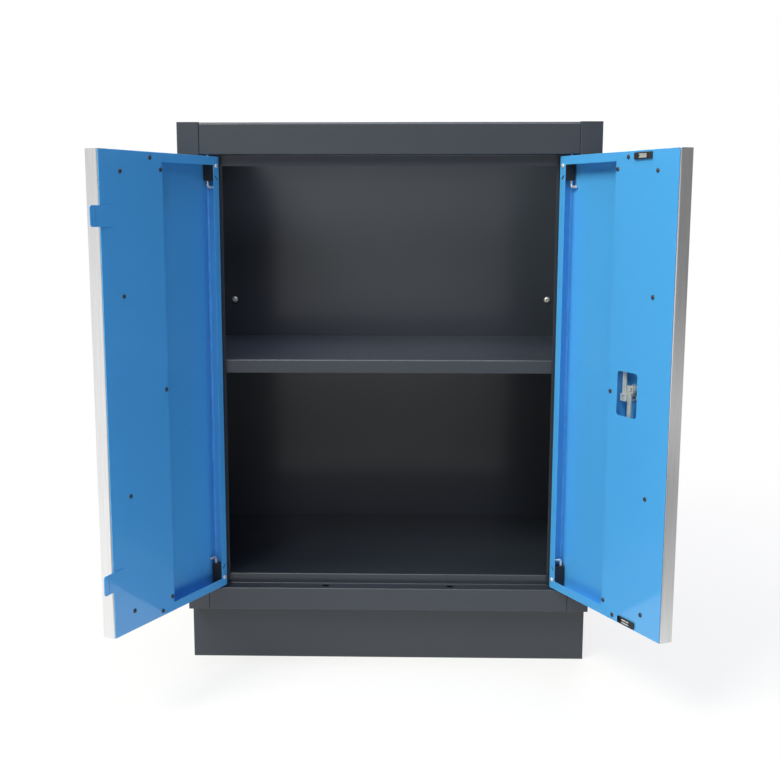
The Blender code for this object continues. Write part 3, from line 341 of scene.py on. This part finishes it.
def dark_steel(name):
    """Blackened steel of the rivets, in lighter and darker patches."""
    metal = Finish(name)
    fine = metal.noise(1900.0, 2.0)
    patch = metal.noise(420.0, 3.0)
    body = metal.blend(patch.between(0.35, 0.65), (0.035, 0.038, 0.048), (0.065, 0.068, 0.080))
    rough = 0.42 + 0.14 * (fine - 0.5)
    return metal.shade(
        Base_Color=body, Roughness=rough, Metallic=0.55, Normal=metal.relief(fine, 0.00004, 0.3),
    )


def moulded_plastic(name):
    """Black moulded plastic with a fine spark-eroded grain, and edges painted lighter as wear and as painted
    highlights.
    """
    plastic = Finish(name)
    grain = plastic.noise(2300.0, 3.0, 0.6)
    bloom = plastic.noise(90.0, 2.0)
    body = plastic.blend(bloom, (0.012, 0.012, 0.014), (0.021, 0.021, 0.024))
    # Edge faces painted lighter: partly wear, partly a painted highlight.
    body = plastic.blend(plastic.wear_and_highlight_edge() * 0.5, body, (0.045, 0.045, 0.050))
    rough = 0.50 + 0.12 * (grain - 0.5) + 0.06 * (bloom - 0.5)
    return plastic.shade(
        Base_Color=body, Roughness=rough, Normal=plastic.relief(grain, 0.00008, 0.35),
        Specular_IOR_Level=0.45,
    )


GREY = (0.0215, 0.0278, 0.0430)
BLUE = (0.070, 0.350, 0.785)
ZINC = (0.78, 0.78, 0.77)
FINISHES = {
    "grey_paint": powder_coat("grey_powder_coat", GREY, 0.42),
    "blue_paint": gloss_coat("blue_gloss_coat", BLUE, 0.40),
    "aluminium": drawn_aluminium("satin_aluminium"),
    "black_plastic": moulded_plastic("black_moulding"),
    "zinc_steel": zinc_plate("bright_zinc", ZINC),
    "rivet": dark_steel("blackened_steel"),
}


# Working on a piece
def take_up(item):
    """Makes one piece the only one that is selected and worked on."""
    bpy.ops.object.select_all(action="DESELECT")
    item.select_set(True)
    bpy.context.view_layer.objects.active = item


def open_up(item):
    """Takes a piece into edit mode."""
    take_up(item)
    bpy.ops.object.mode_set(mode="EDIT")


def close_up():
    """Leaves edit mode."""
    bpy.ops.object.mode_set(mode="OBJECT")


def choose_faces(item, wanted):
    """Selects the faces whose middle and normal pass the test."""
    bpy.ops.mesh.select_mode(type="FACE")
    bpy.ops.mesh.select_all(action="DESELECT")
    shape = bmesh.from_edit_mesh(item.data)
    for face in shape.faces:
        face.select_set(wanted(face.calc_center_median(), face.normal))
    bmesh.update_edit_mesh(item.data)


def close_seams():
    """Merges doubled corners and turns all faces outwards, in edit mode."""
    bpy.ops.mesh.select_all(action="SELECT")
    bpy.ops.mesh.remove_doubles(threshold=MERGE)
    bpy.ops.mesh.normals_make_consistent(inside=False)


def finish_shape(item, angle=35.0):
    """Closes a piece and smooths it where its faces meet at less than the angle."""
    open_up(item)
    close_seams()
    close_up()
    take_up(item)
    bpy.ops.object.shade_smooth_by_angle(angle=math.radians(angle))
    return item


def apply_all(item):
    """Makes what the modifiers do part of the mesh."""
    take_up(item)
    for modifier in list(item.modifiers):
        bpy.ops.object.modifier_apply(modifier=modifier.name)


def break_edges(item, radius, steps=2, angle=50.0):
    """Rounds the sharp edges of a piece by a hair and smooths its folds."""
    take_up(item)
    bpy.ops.object.shade_smooth_by_angle(angle=math.radians(angle))
    rounding = item.modifiers.new("edges", "BEVEL")
    rounding.width = radius
    rounding.segments = steps
    rounding.limit_method = "ANGLE"
    rounding.angle_limit = math.radians(angle)
    rounding.use_clamp_overlap = False
    weighing = item.modifiers.new("normals", "WEIGHTED_NORMAL")
    weighing.keep_sharp = False
    apply_all(item)


def mark_edges(item, narrow):
    """Notes which faces are folds, cut edges or roundings, where paint wears first and where a painted highlight
    lightens the edges.
    """
    mark = item.data.attributes.new("edge", "FLOAT", "FACE")
    corners = item.data.vertices
    for face in item.data.polygons:
        longest = max((corners[a].co - corners[b].co).length for a, b in face.edge_keys)
        mark.data[face.index].value = 1.0 if face.area / max(longest, 1e-9) < narrow else 0.0


def own_copy(pattern, name):
    """A copy of a piece with its own mesh and no finish yet."""
    item = bpy.data.objects.new(name, pattern.data.copy())
    bpy.context.scene.collection.objects.link(item)
    item.data.materials.clear()
    return item


def stand_for(item, node):
    """Puts a copy in a solid's place, in that solid's finish."""
    item.data.materials.append(FINISHES[SLOT_OF[node]])
    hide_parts(node)


def dressed(node, radius, narrow=WEAR_AND_HIGHLIGHT_WIDTH):
    """Puts a copy with smooth folds and broken edges in a solid's place."""
    item = own_copy(SOLIDS[node], node + "_dressed")
    open_up(item)
    bpy.ops.mesh.select_all(action="SELECT")
    bpy.ops.mesh.remove_doubles(threshold=COPY_MERGE)
    bpy.ops.mesh.dissolve_limited(angle_limit=FLAT_ANGLE)
    close_up()
    break_edges(item, radius)
    mark_edges(item, narrow)
    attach(item, BODY_OF[node])
    stand_for(item, node)


def place_copy(pattern, name, place, body, finish):
    """A copy of a fitting, put in place on a body."""
    item = own_copy(pattern, name)
    item.data.transform(place)
    item.data.materials.append(FINISHES[finish])
    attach(item, body)
    return item


def fit(pattern, node, ending, place):
    """A zinc-plated copy of a fitting in a solid's place."""
    item = place_copy(pattern, node + ending, place, BODY_OF[node], "zinc_steel")
    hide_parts(node)


def carve(item, tool, operation="DIFFERENCE"):
    """Cuts a piece with another, which is then thrown away."""
    cutter = item.modifiers.new("cut", "BOOLEAN")
    cutter.operation = operation
    cutter.solver = "EXACT"
    cutter.object = tool
    apply_all(item)
    discard(tool)


def discard(item):
    """Throws a piece away."""
    bpy.data.objects.remove(item, do_unlink=True)


# Places on the doors
def door_turn(hand):
    """From a door's own directions, as it lies shut, to where it stands open."""
    return Matrix.Translation((hand * PIVOT_X, PIVOT_Y, 0.0)) @ Matrix.Rotation(hand * OPEN_ANGLE, 4, "Z")


def door_spot(hand, u, v, w):
    """u from the hinge edge, v from the outer face, w up from the lower edge; tops face inwards."""
    place = Vector((hand * (PIVOT_INSET - u), v - PIVOT_DEPTH, DOOR_BOTTOM + w))
    facing_in = Matrix.Rotation(-math.pi / 2, 4, "X")
    return door_turn(hand) @ Matrix.Translation(place) @ facing_in


# Shaping the fittings, upright on the Z axis
def round_bar(radius, low, high, sides):
    """A short bar to start a turned fitting from."""
    bpy.ops.object.select_all(action="DESELECT")
    middle = (0.0, 0.0, (low + high) / 2)
    bpy.ops.mesh.primitive_cylinder_add(vertices=sides, radius=radius, depth=high - low, location=middle)
    bpy.ops.object.transform_apply(location=True)
    return bpy.context.object


def choose_end(item, way):
    """Selects the flat end that faces up (1) or down (-1)."""
    shape = bmesh.from_edit_mesh(item.data)
    level = max(way * vertex.co.z for vertex in shape.verts)
    choose_faces(item, lambda middle, normal: abs(normal.z) > 0.9 and way * middle.z > level - MERGE / 2)


def carry_on(radius, steps):
    """Draws the chosen end on along the axis: each step has a new radius and a rise."""
    for wider, rise in steps:
        bpy.ops.mesh.extrude_region_move(TRANSFORM_OT_translate={"value": (0.0, 0.0, rise)})
        ratio = wider / radius
        bpy.ops.transform.resize(value=(ratio, ratio, 1.0), center_override=(0.0, 0.0, 0.0))
        radius = wider


def draw_in(steps):
    """Draws the chosen end in and along, step by step, into a crown, chamfer or hollow."""
    for inward, along in steps:
        bpy.ops.mesh.inset(thickness=inward, depth=along)


def block(low, high):
    """A block between two corners."""
    bpy.ops.object.select_all(action="DESELECT")
    bpy.ops.mesh.primitive_cube_add(size=1.0)
    item = bpy.context.object
    low = Vector(low)
    high = Vector(high)
    item.data.transform(Matrix.Translation((low + high) / 2) @ Matrix.Diagonal((*(high - low), 1.0)))
    return item


def thread(first, second, rise, turns):
    """Steps that carry an end on over a thread: two radii by turns, each with its rise."""
    return ((first, rise), (second, rise)) * turns


# Fittings
def rivet_head():
    """Blind rivet: thin brim, low crown and the broken mandrel in its hollow."""
    brim = 0.0035
    crown = ((0.00025, 0.00035), (0.00045, 0.00040), (0.00055, 0.00028), (0.00050, 0.00014))
    hollow = ((0.00012, -0.00002), (0.00010, -0.00055), (0.00015, 0.0))
    mandrel = ((0.00008, 0.00022), (0.00020, 0.00010))
    item = round_bar(brim, low=-0.0001, high=0.0006, sides=32)
    open_up(item)
    choose_end(item, 1)
    draw_in(crown + hollow + mandrel)
    close_up()
    return finish_shape(item, angle=50.0)


def hinge_pin():
    """Turned pin with collar, round elbow and a short foot along X; the door's edge is at zero."""
    thick = 0.0022
    tip = 0.0077
    tip_chamfer = ((0.00025, 0.0005), (0.00060, 0.0003))
    collar = 0.0034
    collar_top = -0.0111
    collar_height = 0.002
    bend = 0.004
    elbow = -0.0483
    foot = 0.0076
    foot_chamfer = ((0.00035, 0.0004),)
    stem = elbow + bend - (collar_top - collar_height)
    item = round_bar(thick, low=collar_top, high=tip, sides=28)
    open_up(item)
    choose_end(item, 1)
    draw_in(tip_chamfer)
    choose_end(item, -1)
    carry_on(thick, ((collar, 0.0), (collar, -collar_height), (thick, 0.0), (thick, stem)))
    bpy.ops.mesh.spin(steps=9, angle=math.pi / 2, center=(bend, 0.0, elbow + bend), axis=(0.0, 1.0, 0.0))
    bpy.ops.mesh.extrude_region_move(TRANSFORM_OT_translate={"value": (foot, 0.0, 0.0)})
    shape = bmesh.from_edit_mesh(item.data)
    reach = [face.calc_center_median().x for face in shape.faces if face.select][0]
    close_seams()
    choose_faces(item, lambda middle, normal: normal.x > 0.9 and middle.x > reach - MERGE / 2)
    draw_in(foot_chamfer)
    close_up()
    return finish_shape(item, angle=40.0)


def set_hinge_pins():
    """Each pin goes in at its own edge of the door; two feet point inwards and two lie along the door."""
    pattern = hinge_pin()
    for side, hand in HANDS.items():
        for part, way in ENDS.items():
            edge = DOOR_BOTTOM + (DOOR_HEIGHT if way > 0 else 0.0)
            heading = math.pi / 2
            if hand * way > 0:
                heading = math.atan2(-math.sin(PIN_FOOT_TILT), -hand * math.cos(PIN_FOOT_TILT))
            spot = Matrix.Translation((0.0, 0.0, edge)) @ Matrix.Rotation(heading, 4, "Z")
            if way < 0:
                spot = spot @ Matrix.Rotation(math.pi, 4, "X")
            fit(pattern, side + "_hinge_pin_" + part, "_bent", door_turn(hand) @ spot)
    discard(pattern)


def set_springs():
    """Each coil is copied, closed and smoothed, and stands in its solid's place in that solid's finish; the ends
    found for it are not used.
    """
    for side in HANDS:
        for part, way in ENDS.items():
            node = side + "_hinge_spring_" + part
            low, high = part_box(node)
            foot = Vector(low)
            head = Vector((low[0], low[1], high[2]))
            if way < 0:
                foot, head = head, foot
            coil = finish_shape(own_copy(SOLIDS[node], node + "_coil"), angle=60.0)
            stand_for(coil, node)
            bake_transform(coil)


def cross_screw():
    """Pan-head screw with a tapered cross recess."""
    head = 0.0035
    crown = ((0.00022, 0.0005), (0.00045, 0.00045), (0.00070, 0.00028), (0.00070, 0.00012))
    shank = 0.0020
    shank_length = 0.0080
    point_length = 0.0012
    recess_half = 0.00050
    recess_reach = 0.0019
    recess_bottom = 0.0004
    recess_taper = 0.45
    above_head = 0.0030
    item = round_bar(head, low=-0.0002, high=0.0004, sides=36)
    open_up(item)
    choose_end(item, 1)
    draw_in(crown)
    choose_end(item, -1)
    draw_in(((head - shank, 0.0),))
    carry_on(shank, ((shank, -shank_length), (shank / 2, -point_length)))
    close_up()
    for wide, long in ((recess_half, recess_reach), (recess_reach, recess_half)):
        tool = block((-wide, -long, recess_bottom), (wide, long, above_head))
        open_up(tool)
        choose_end(tool, -1)
        bpy.ops.transform.resize(value=(recess_taper, recess_taper, 1.0), center_override=(0.0, 0.0, 0.0))
        close_up()
        carve(item, tool)
    return finish_shape(item)


def set_hinge_screws():
    """One screw for each hinge block; the recesses on the two doors stand at different angles."""
    pattern = cross_screw()
    levels = {"upper": DOOR_HEIGHT - SCREW_FROM_END, "lower": SCREW_FROM_END}
    for side, hand in HANDS.items():
        for part, level in levels.items():
            spot = door_spot(hand, SCREW_INSET, SCREW_PLANE, level)
            turned = spot @ Matrix.Rotation(0.4 * hand + 0.3, 4, "Z")
            fit(pattern, side + "_hinge_screw_" + part, "_driven", turned)
    discard(pattern)


def socket_bolt():
    """Button-head bolt with a hexagon socket and a threaded end; the head's seat is at zero."""
    head = 0.0060
    crown = ((0.00045, 0.0009), (0.0008, 0.0008), (0.0012, 0.0005), (0.0010, 0.0002))
    shank = 0.0030
    plain_length = 0.0068
    root = 0.00276
    end_chamfer = ((0.0005, 0.00046),)
    socket_half = 0.0020
    socket_bottom = 0.0012
    above_head = 0.0060
    item = round_bar(head, low=0.0, high=0.0010, sides=48)
    open_up(item)
    choose_end(item, 1)
    draw_in(crown)
    choose_end(item, -1)
    draw_in(((head - shank, 0.0),))
    carry_on(shank, ((shank, -plain_length),) + thread(root, shank, rise=-0.00022, turns=6))
    draw_in(end_chamfer)
    close_up()
    carve(item, round_bar(socket_half / math.cos(math.pi / 6), low=socket_bottom, high=above_head, sides=6))
    return finish_shape(item)


def back_spot(node, seat, tip):
    """On the axis of a solid in the back panel, at a seat, with the top tipped to front or rear."""
    low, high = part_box(node)
    place = (Vector(low) + Vector(high)) / 2
    place.y = seat
    return Matrix.Translation(place) @ Matrix.Rotation(tip, 4, "X")


def set_bolts():
    """The heads lie on the front of the back panel."""
    pattern = socket_bolt()
    for side, hand in sorted(HANDS.items()):
        node = "back_panel_bolt_" + side
        spot = back_spot(node, BOLT_SEAT, math.pi / 2)
        fit(pattern, node, "_driven", spot @ Matrix.Rotation(0.2 + 0.5 * hand, 4, "Z"))
    discard(pattern)


def hexagon_nut(across, height, bore):
    """Nut with chamfered corners on both faces and a countersunk, threaded hole."""
    corner = across / math.sqrt(3.0)
    mouth = bore * 1.10
    sink = bore * 0.10
    root = bore * 1.08
    rise = 0.00025
    turns = max(2, int(height * 0.5 / (2 * rise)))
    item = round_bar(corner, low=0.0, high=height, sides=6)
    rounding = round_bar(corner * 1.001, low=0.0, high=height, sides=48)
    open_up(rounding)
    for way in (1, -1):
        choose_end(rounding, way)
        bpy.ops.mesh.bevel(offset=corner * 0.09, segments=1, affect="EDGES")
    close_up()
    carve(item, rounding, "INTERSECT")
    tool = round_bar(mouth, low=height - sink, high=height + 0.001, sides=36)
    open_up(tool)
    choose_end(tool, -1)
    carry_on(mouth, ((bore, -sink),) + thread(root, bore, -rise, turns) + ((bore, -height),))
    close_up()
    carve(item, tool)
    return finish_shape(item, angle=30.0)


def set_nuts():
    """Each nut starts where its solid does, behind the back panel."""
    pattern = hexagon_nut(across=0.010, height=0.005, bore=0.0030)
    for side, hand in sorted(HANDS.items()):
        node = "back_panel_nut_" + side
        spot = back_spot(node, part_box(node)[0][1], -math.pi / 2)
        fit(pattern, node, "_screwed", spot @ Matrix.Rotation(0.3 * hand, 4, "Z"))
    discard(pattern)


def set_rivets():
    """The rivets of both doors, numbered row by row from the hinge edge."""
    pattern = rivet_head()
    for side, hand in HANDS.items():
        count = 0
        for inset, levels in RIVET_ROWS:
            for level in levels:
                count += 1
                name = side + "_door_rivet_" + str(count)
                spot = door_spot(hand, inset, PANEL_PLANE, level)
                place_copy(pattern, name, spot, side + "_door", "rivet")
    discard(pattern)


# Lock
def lock_spot(depth):
    """On the lock's axis, at a depth from the outer face, with +Z into the door."""
    return door_spot(HANDS["right"], LOCK_INSET, depth, LOCK_LEVEL)


def lock_housing():
    """Bevelled rose on the outer face, threaded body through the door."""
    rose = 0.0115
    rose_face = ((0.00025, 0.0005), (0.0008, 0.0006), (0.0030, 0.0))
    plug_hole = ((0.0003, -0.0002), (0.00085, 0.0), (0.0, -0.0040))
    body = 0.0090
    root = 0.0086
    rear_hole = ((0.0023, 0.0), (0.0, -0.0030))
    item = round_bar(rose, low=-0.0014, high=-0.0003, sides=56)
    open_up(item)
    choose_end(item, -1)
    draw_in(rose_face + plug_hole)
    choose_end(item, 1)
    draw_in(((rose - body, 0.0),))
    carry_on(body, thread(body, root, rise=0.0004, turns=9))
    draw_in(rear_hole)
    close_up()
    return finish_shape(item)


def lock_plug():
    """Chamfered face with its keyway, and the stem that carries the cam."""
    plug = 0.0060
    chamfer = ((0.0004, 0.0004),)
    stem = 0.0030
    plain_length = 0.0026
    root = 0.00278
    keyway_low = (-0.00090, -0.00375, -0.0030)
    keyway_high = (0.00090, 0.00375, 0.0015)
    item = round_bar(plug, low=-0.0018, high=0.0078, sides=44)
    open_up(item)
    choose_end(item, -1)
    draw_in(chamfer)
    choose_end(item, 1)
    draw_in(((plug - stem, 0.0),))
    carry_on(stem, ((stem, plain_length),) + thread(root, stem, rise=0.0002, turns=6))
    draw_in(chamfer)
    close_up()
    tool = block(keyway_low, keyway_high)
    open_up(tool)
    bpy.ops.mesh.select_all(action="SELECT")
    bpy.ops.mesh.bevel(offset=0.0004, segments=3, affect="EDGES")
    close_up()
    carve(item, tool)
    return finish_shape(item)


def set_lock():
    """The large nut clamps the housing to the door, the small one holds the cam on the plug."""
    fittings = (
        (lock_housing(), "lock_housing", "_turned", 0.0),
        (lock_plug(), "lock_plug", "_turned", 0.0),
        (hexagon_nut(across=0.024, height=0.0035, bore=0.0093), "lock_ring_nut", "_screwed", 0.0013),
        (hexagon_nut(across=0.010, height=0.0030, bore=0.0033), "lock_cam_nut", "_screwed", 0.0104),
    )
    for pattern, node, ending, depth in fittings:
        fit(pattern, node, ending, lock_spot(depth))
        discard(pattern)
    for node in ("lock_cam", "lock_rod_upper", "lock_rod_lower"):
        dressed(node, PROFILE_EDGE, LOCK_WEAR_AND_HIGHLIGHT_WIDTH)


# Dressing the solids
SHEETS = (
    "side_panel_left", "side_panel_right", "top_panel", "bottom_panel", "back_panel", "shelf",
    "top_front_rail", "bottom_front_rail", "shelf_bracket_left", "shelf_bracket_right",
    "plinth_front", "plinth_back", "plinth_side_left", "plinth_side_right",
)
for node in SHEETS:
    dressed(node, SHEET_EDGE)
for side in HANDS:
    dressed(side + "_door_shell", SHEET_EDGE)
    dressed(side + "_inner_panel", THIN_EDGE)
    dressed(side + "_door_stiffener", THIN_EDGE)
    dressed(side + "_handle_profile", PROFILE_EDGE)
    for part in ENDS:
        dressed(side + "_hinge_block_" + part, MOULDING_EDGE)
        dressed(side + "_hinge_bush_" + part, SMALL_EDGE)
for part in ENDS:
    dressed("left_catch_tab_" + part, THIN_EDGE)
    dressed("right_magnet_catch_" + part, CATCH_EDGE)
    dressed("right_magnet_poles_" + part, SMALL_EDGE, POLE_WEAR_AND_HIGHLIGHT_WIDTH)
set_rivets()
set_hinge_pins()
set_springs()
set_hinge_screws()
set_bolts()
set_nuts()
set_lock()


# Floor, light and camera
def seen_rays(finish):
    """1 where the camera looks, straight, in a polished surface or through glass."""
    camera = finish.node("LightPath", output="Is Camera Ray")
    glossy = finish.node("LightPath", output="Is Glossy Ray")
    through = finish.node("LightPath", output="Is Transmission Ray")
    return camera.most(glossy).most(through)


def lay_floor():
    """A pale floor, nearly white where it is seen, that paint mirrors darker in front and on the right."""
    bpy.ops.object.select_all(action="DESELECT")
    bpy.ops.mesh.primitive_plane_add(size=60.0, location=(0.0, 0.0, 0.0))
    floor = bpy.context.object
    floor.name = "studio_floor"
    pale = Finish("studio_floor")
    drift = pale.noise(0.8, 2.0)
    colour = pale.blend(drift, (0.90, 0.90, 0.90), (0.92, 0.92, 0.92))
    pale.shade(Base_Color=colour, Roughness=0.9, Specular_IOR_Level=0.0)
    lit = Value(pale, pale.shader.outputs[0])
    spot = pale.where()
    reach = pale.node("VectorMath", {"operation": "LENGTH"}, {0: spot}, "Value")
    paleness = 0.78 + 0.22 * reach.between(0.8, 2.4)
    mirrored = pale.node("LightPath", output="Is Glossy Ray")
    beside = pale.part(spot, "X")
    front = pale.part(spot, "Y")
    middle = beside.between(-1.3, -0.7) * beside.between(2.6, 2.0)
    ahead = 0.7 * front.between(-0.6, -0.9) * front.between(-3.2, -2.2) * middle
    gleam = beside.between(2.0, 3.0) * beside.between(6.0, 4.0)
    right = 0.55 * beside.between(0.3, 1.2) + 0.24 * beside.between(4.0, 7.0) - 0.18 * gleam
    left = 0.08 * beside.between(-1.0, -6.0)
    level = 1.0 - mirrored * ahead.most(right).most(left)
    glow = pale.node("Emission", None, {"Color": (1.0, 1.0, 1.0), "Strength": level})
    seen = pale.node("MixShader", None, {0: paleness, 1: lit, 2: glow})
    end = pale.node("MixShader", None, {0: seen_rays(pale), 1: lit, 2: seen})
    pale.tree.links.new(end.socket, pale.tree.nodes["Material Output"].inputs["Surface"])
    floor.data.materials.append(pale.holder)


def set_world(ambient):
    """White all round where it is seen, and in reflections dimmer at both sides and high in front."""
    world = bpy.data.worlds.new("studio")
    bpy.context.scene.world = world
    studio = Finish("studio", world)
    ray = studio.node("TexCoord", output="Generated")
    beside = studio.part(ray, "X")
    front = studio.part(ray, "Y").between(-0.60, -0.85)
    high = studio.part(ray, "Z").between(0.005, 0.035)
    mirrored = studio.node("LightPath", output="Is Glossy Ray")
    sides = 0.76 * beside.between(0.35, 0.80) + 0.28 * beside.between(-0.35, -0.80)
    level = 1.0 - mirrored * sides.most(0.80 * front * high)
    soft = studio.node("Background", None, {"Color": (0.80, 0.89, 1.0), "Strength": ambient})
    white = studio.node("Background", None, {"Color": (1.0, 1.0, 1.0), "Strength": level})
    both = studio.node("MixShader", None, {0: seen_rays(studio), 1: soft, 2: white})
    studio.tree.links.new(both.socket, studio.tree.nodes["World Output"].inputs["Surface"])


def hang_lamp(name, place, target, width, height, watts, colour):
    """A soft rectangular lamp that faces its target."""
    light = bpy.data.lights.new(name, "AREA")
    light.shape = "RECTANGLE"
    light.size = width
    light.size_y = height
    light.energy = watts
    light.color = colour
    lamp = bpy.data.objects.new(name, light)
    bpy.context.scene.collection.objects.link(lamp)
    lamp.location = place
    lamp.rotation_euler = (Vector(target) - Vector(place)).to_track_quat("-Z", "Y").to_euler()


def set_camera():
    """The view of the photograph, cropped off the lens axis; picture distances are in pixels."""
    picture_width = 780.0
    picture_height = 781.0
    focal_length = 1190.53
    axis_from_left = 368.58
    axis_from_top = 417.65
    yaw = -0.0259
    pitch = 0.1701
    data = bpy.data.cameras.new("camera")
    camera = bpy.data.objects.new("camera", data)
    bpy.context.scene.collection.objects.link(camera)
    ahead = Vector((math.sin(yaw) * math.cos(pitch), math.cos(yaw) * math.cos(pitch), -math.sin(pitch)))
    camera.location = (0.01804, -2.00079, 0.76845)
    camera.rotation_euler = ahead.to_track_quat("-Z", "Y").to_euler()
    data.sensor_fit = "HORIZONTAL"
    data.sensor_width = 36.0
    data.lens = focal_length * data.sensor_width / picture_width
    data.shift_x = (picture_width / 2 - axis_from_left) / picture_width
    data.shift_y = (axis_from_top - picture_height / 2) / picture_width
    data.clip_end = 200.0
    bpy.context.scene.camera = camera


MIDDLE = (0.0, 0.0, 0.5)
BEFORE = (0.0, -0.6, 0.0)

# Lamps: name, place, target, width, height, watts and colour
LAMPS = (
    ("key_left", (-1.7, -2.2, 3.2), MIDDLE, 1.6, 1.6, 150.0, (0.99, 1.0, 0.76)),
    ("front_high", (0.0, -3.2, 2.4), MIDDLE, 2.0, 0.8, 27.0, (0.89, 0.91, 1.0)),
    ("overhead", (0.0, 0.2, 3.2), BEFORE, 2.4, 2.0, 66.0, (0.81, 0.83, 1.0)),
    ("behind", (0.8, 3.6, 2.0), MIDDLE, 2.4, 1.8, 80.0, (1.0, 1.0, 1.0)),
)
lay_floor()
set_world(ambient=0.03)
for lamp in LAMPS:
    hang_lamp(*lamp)
set_camera()
bpy.context.scene.view_settings.view_transform = "Standard"
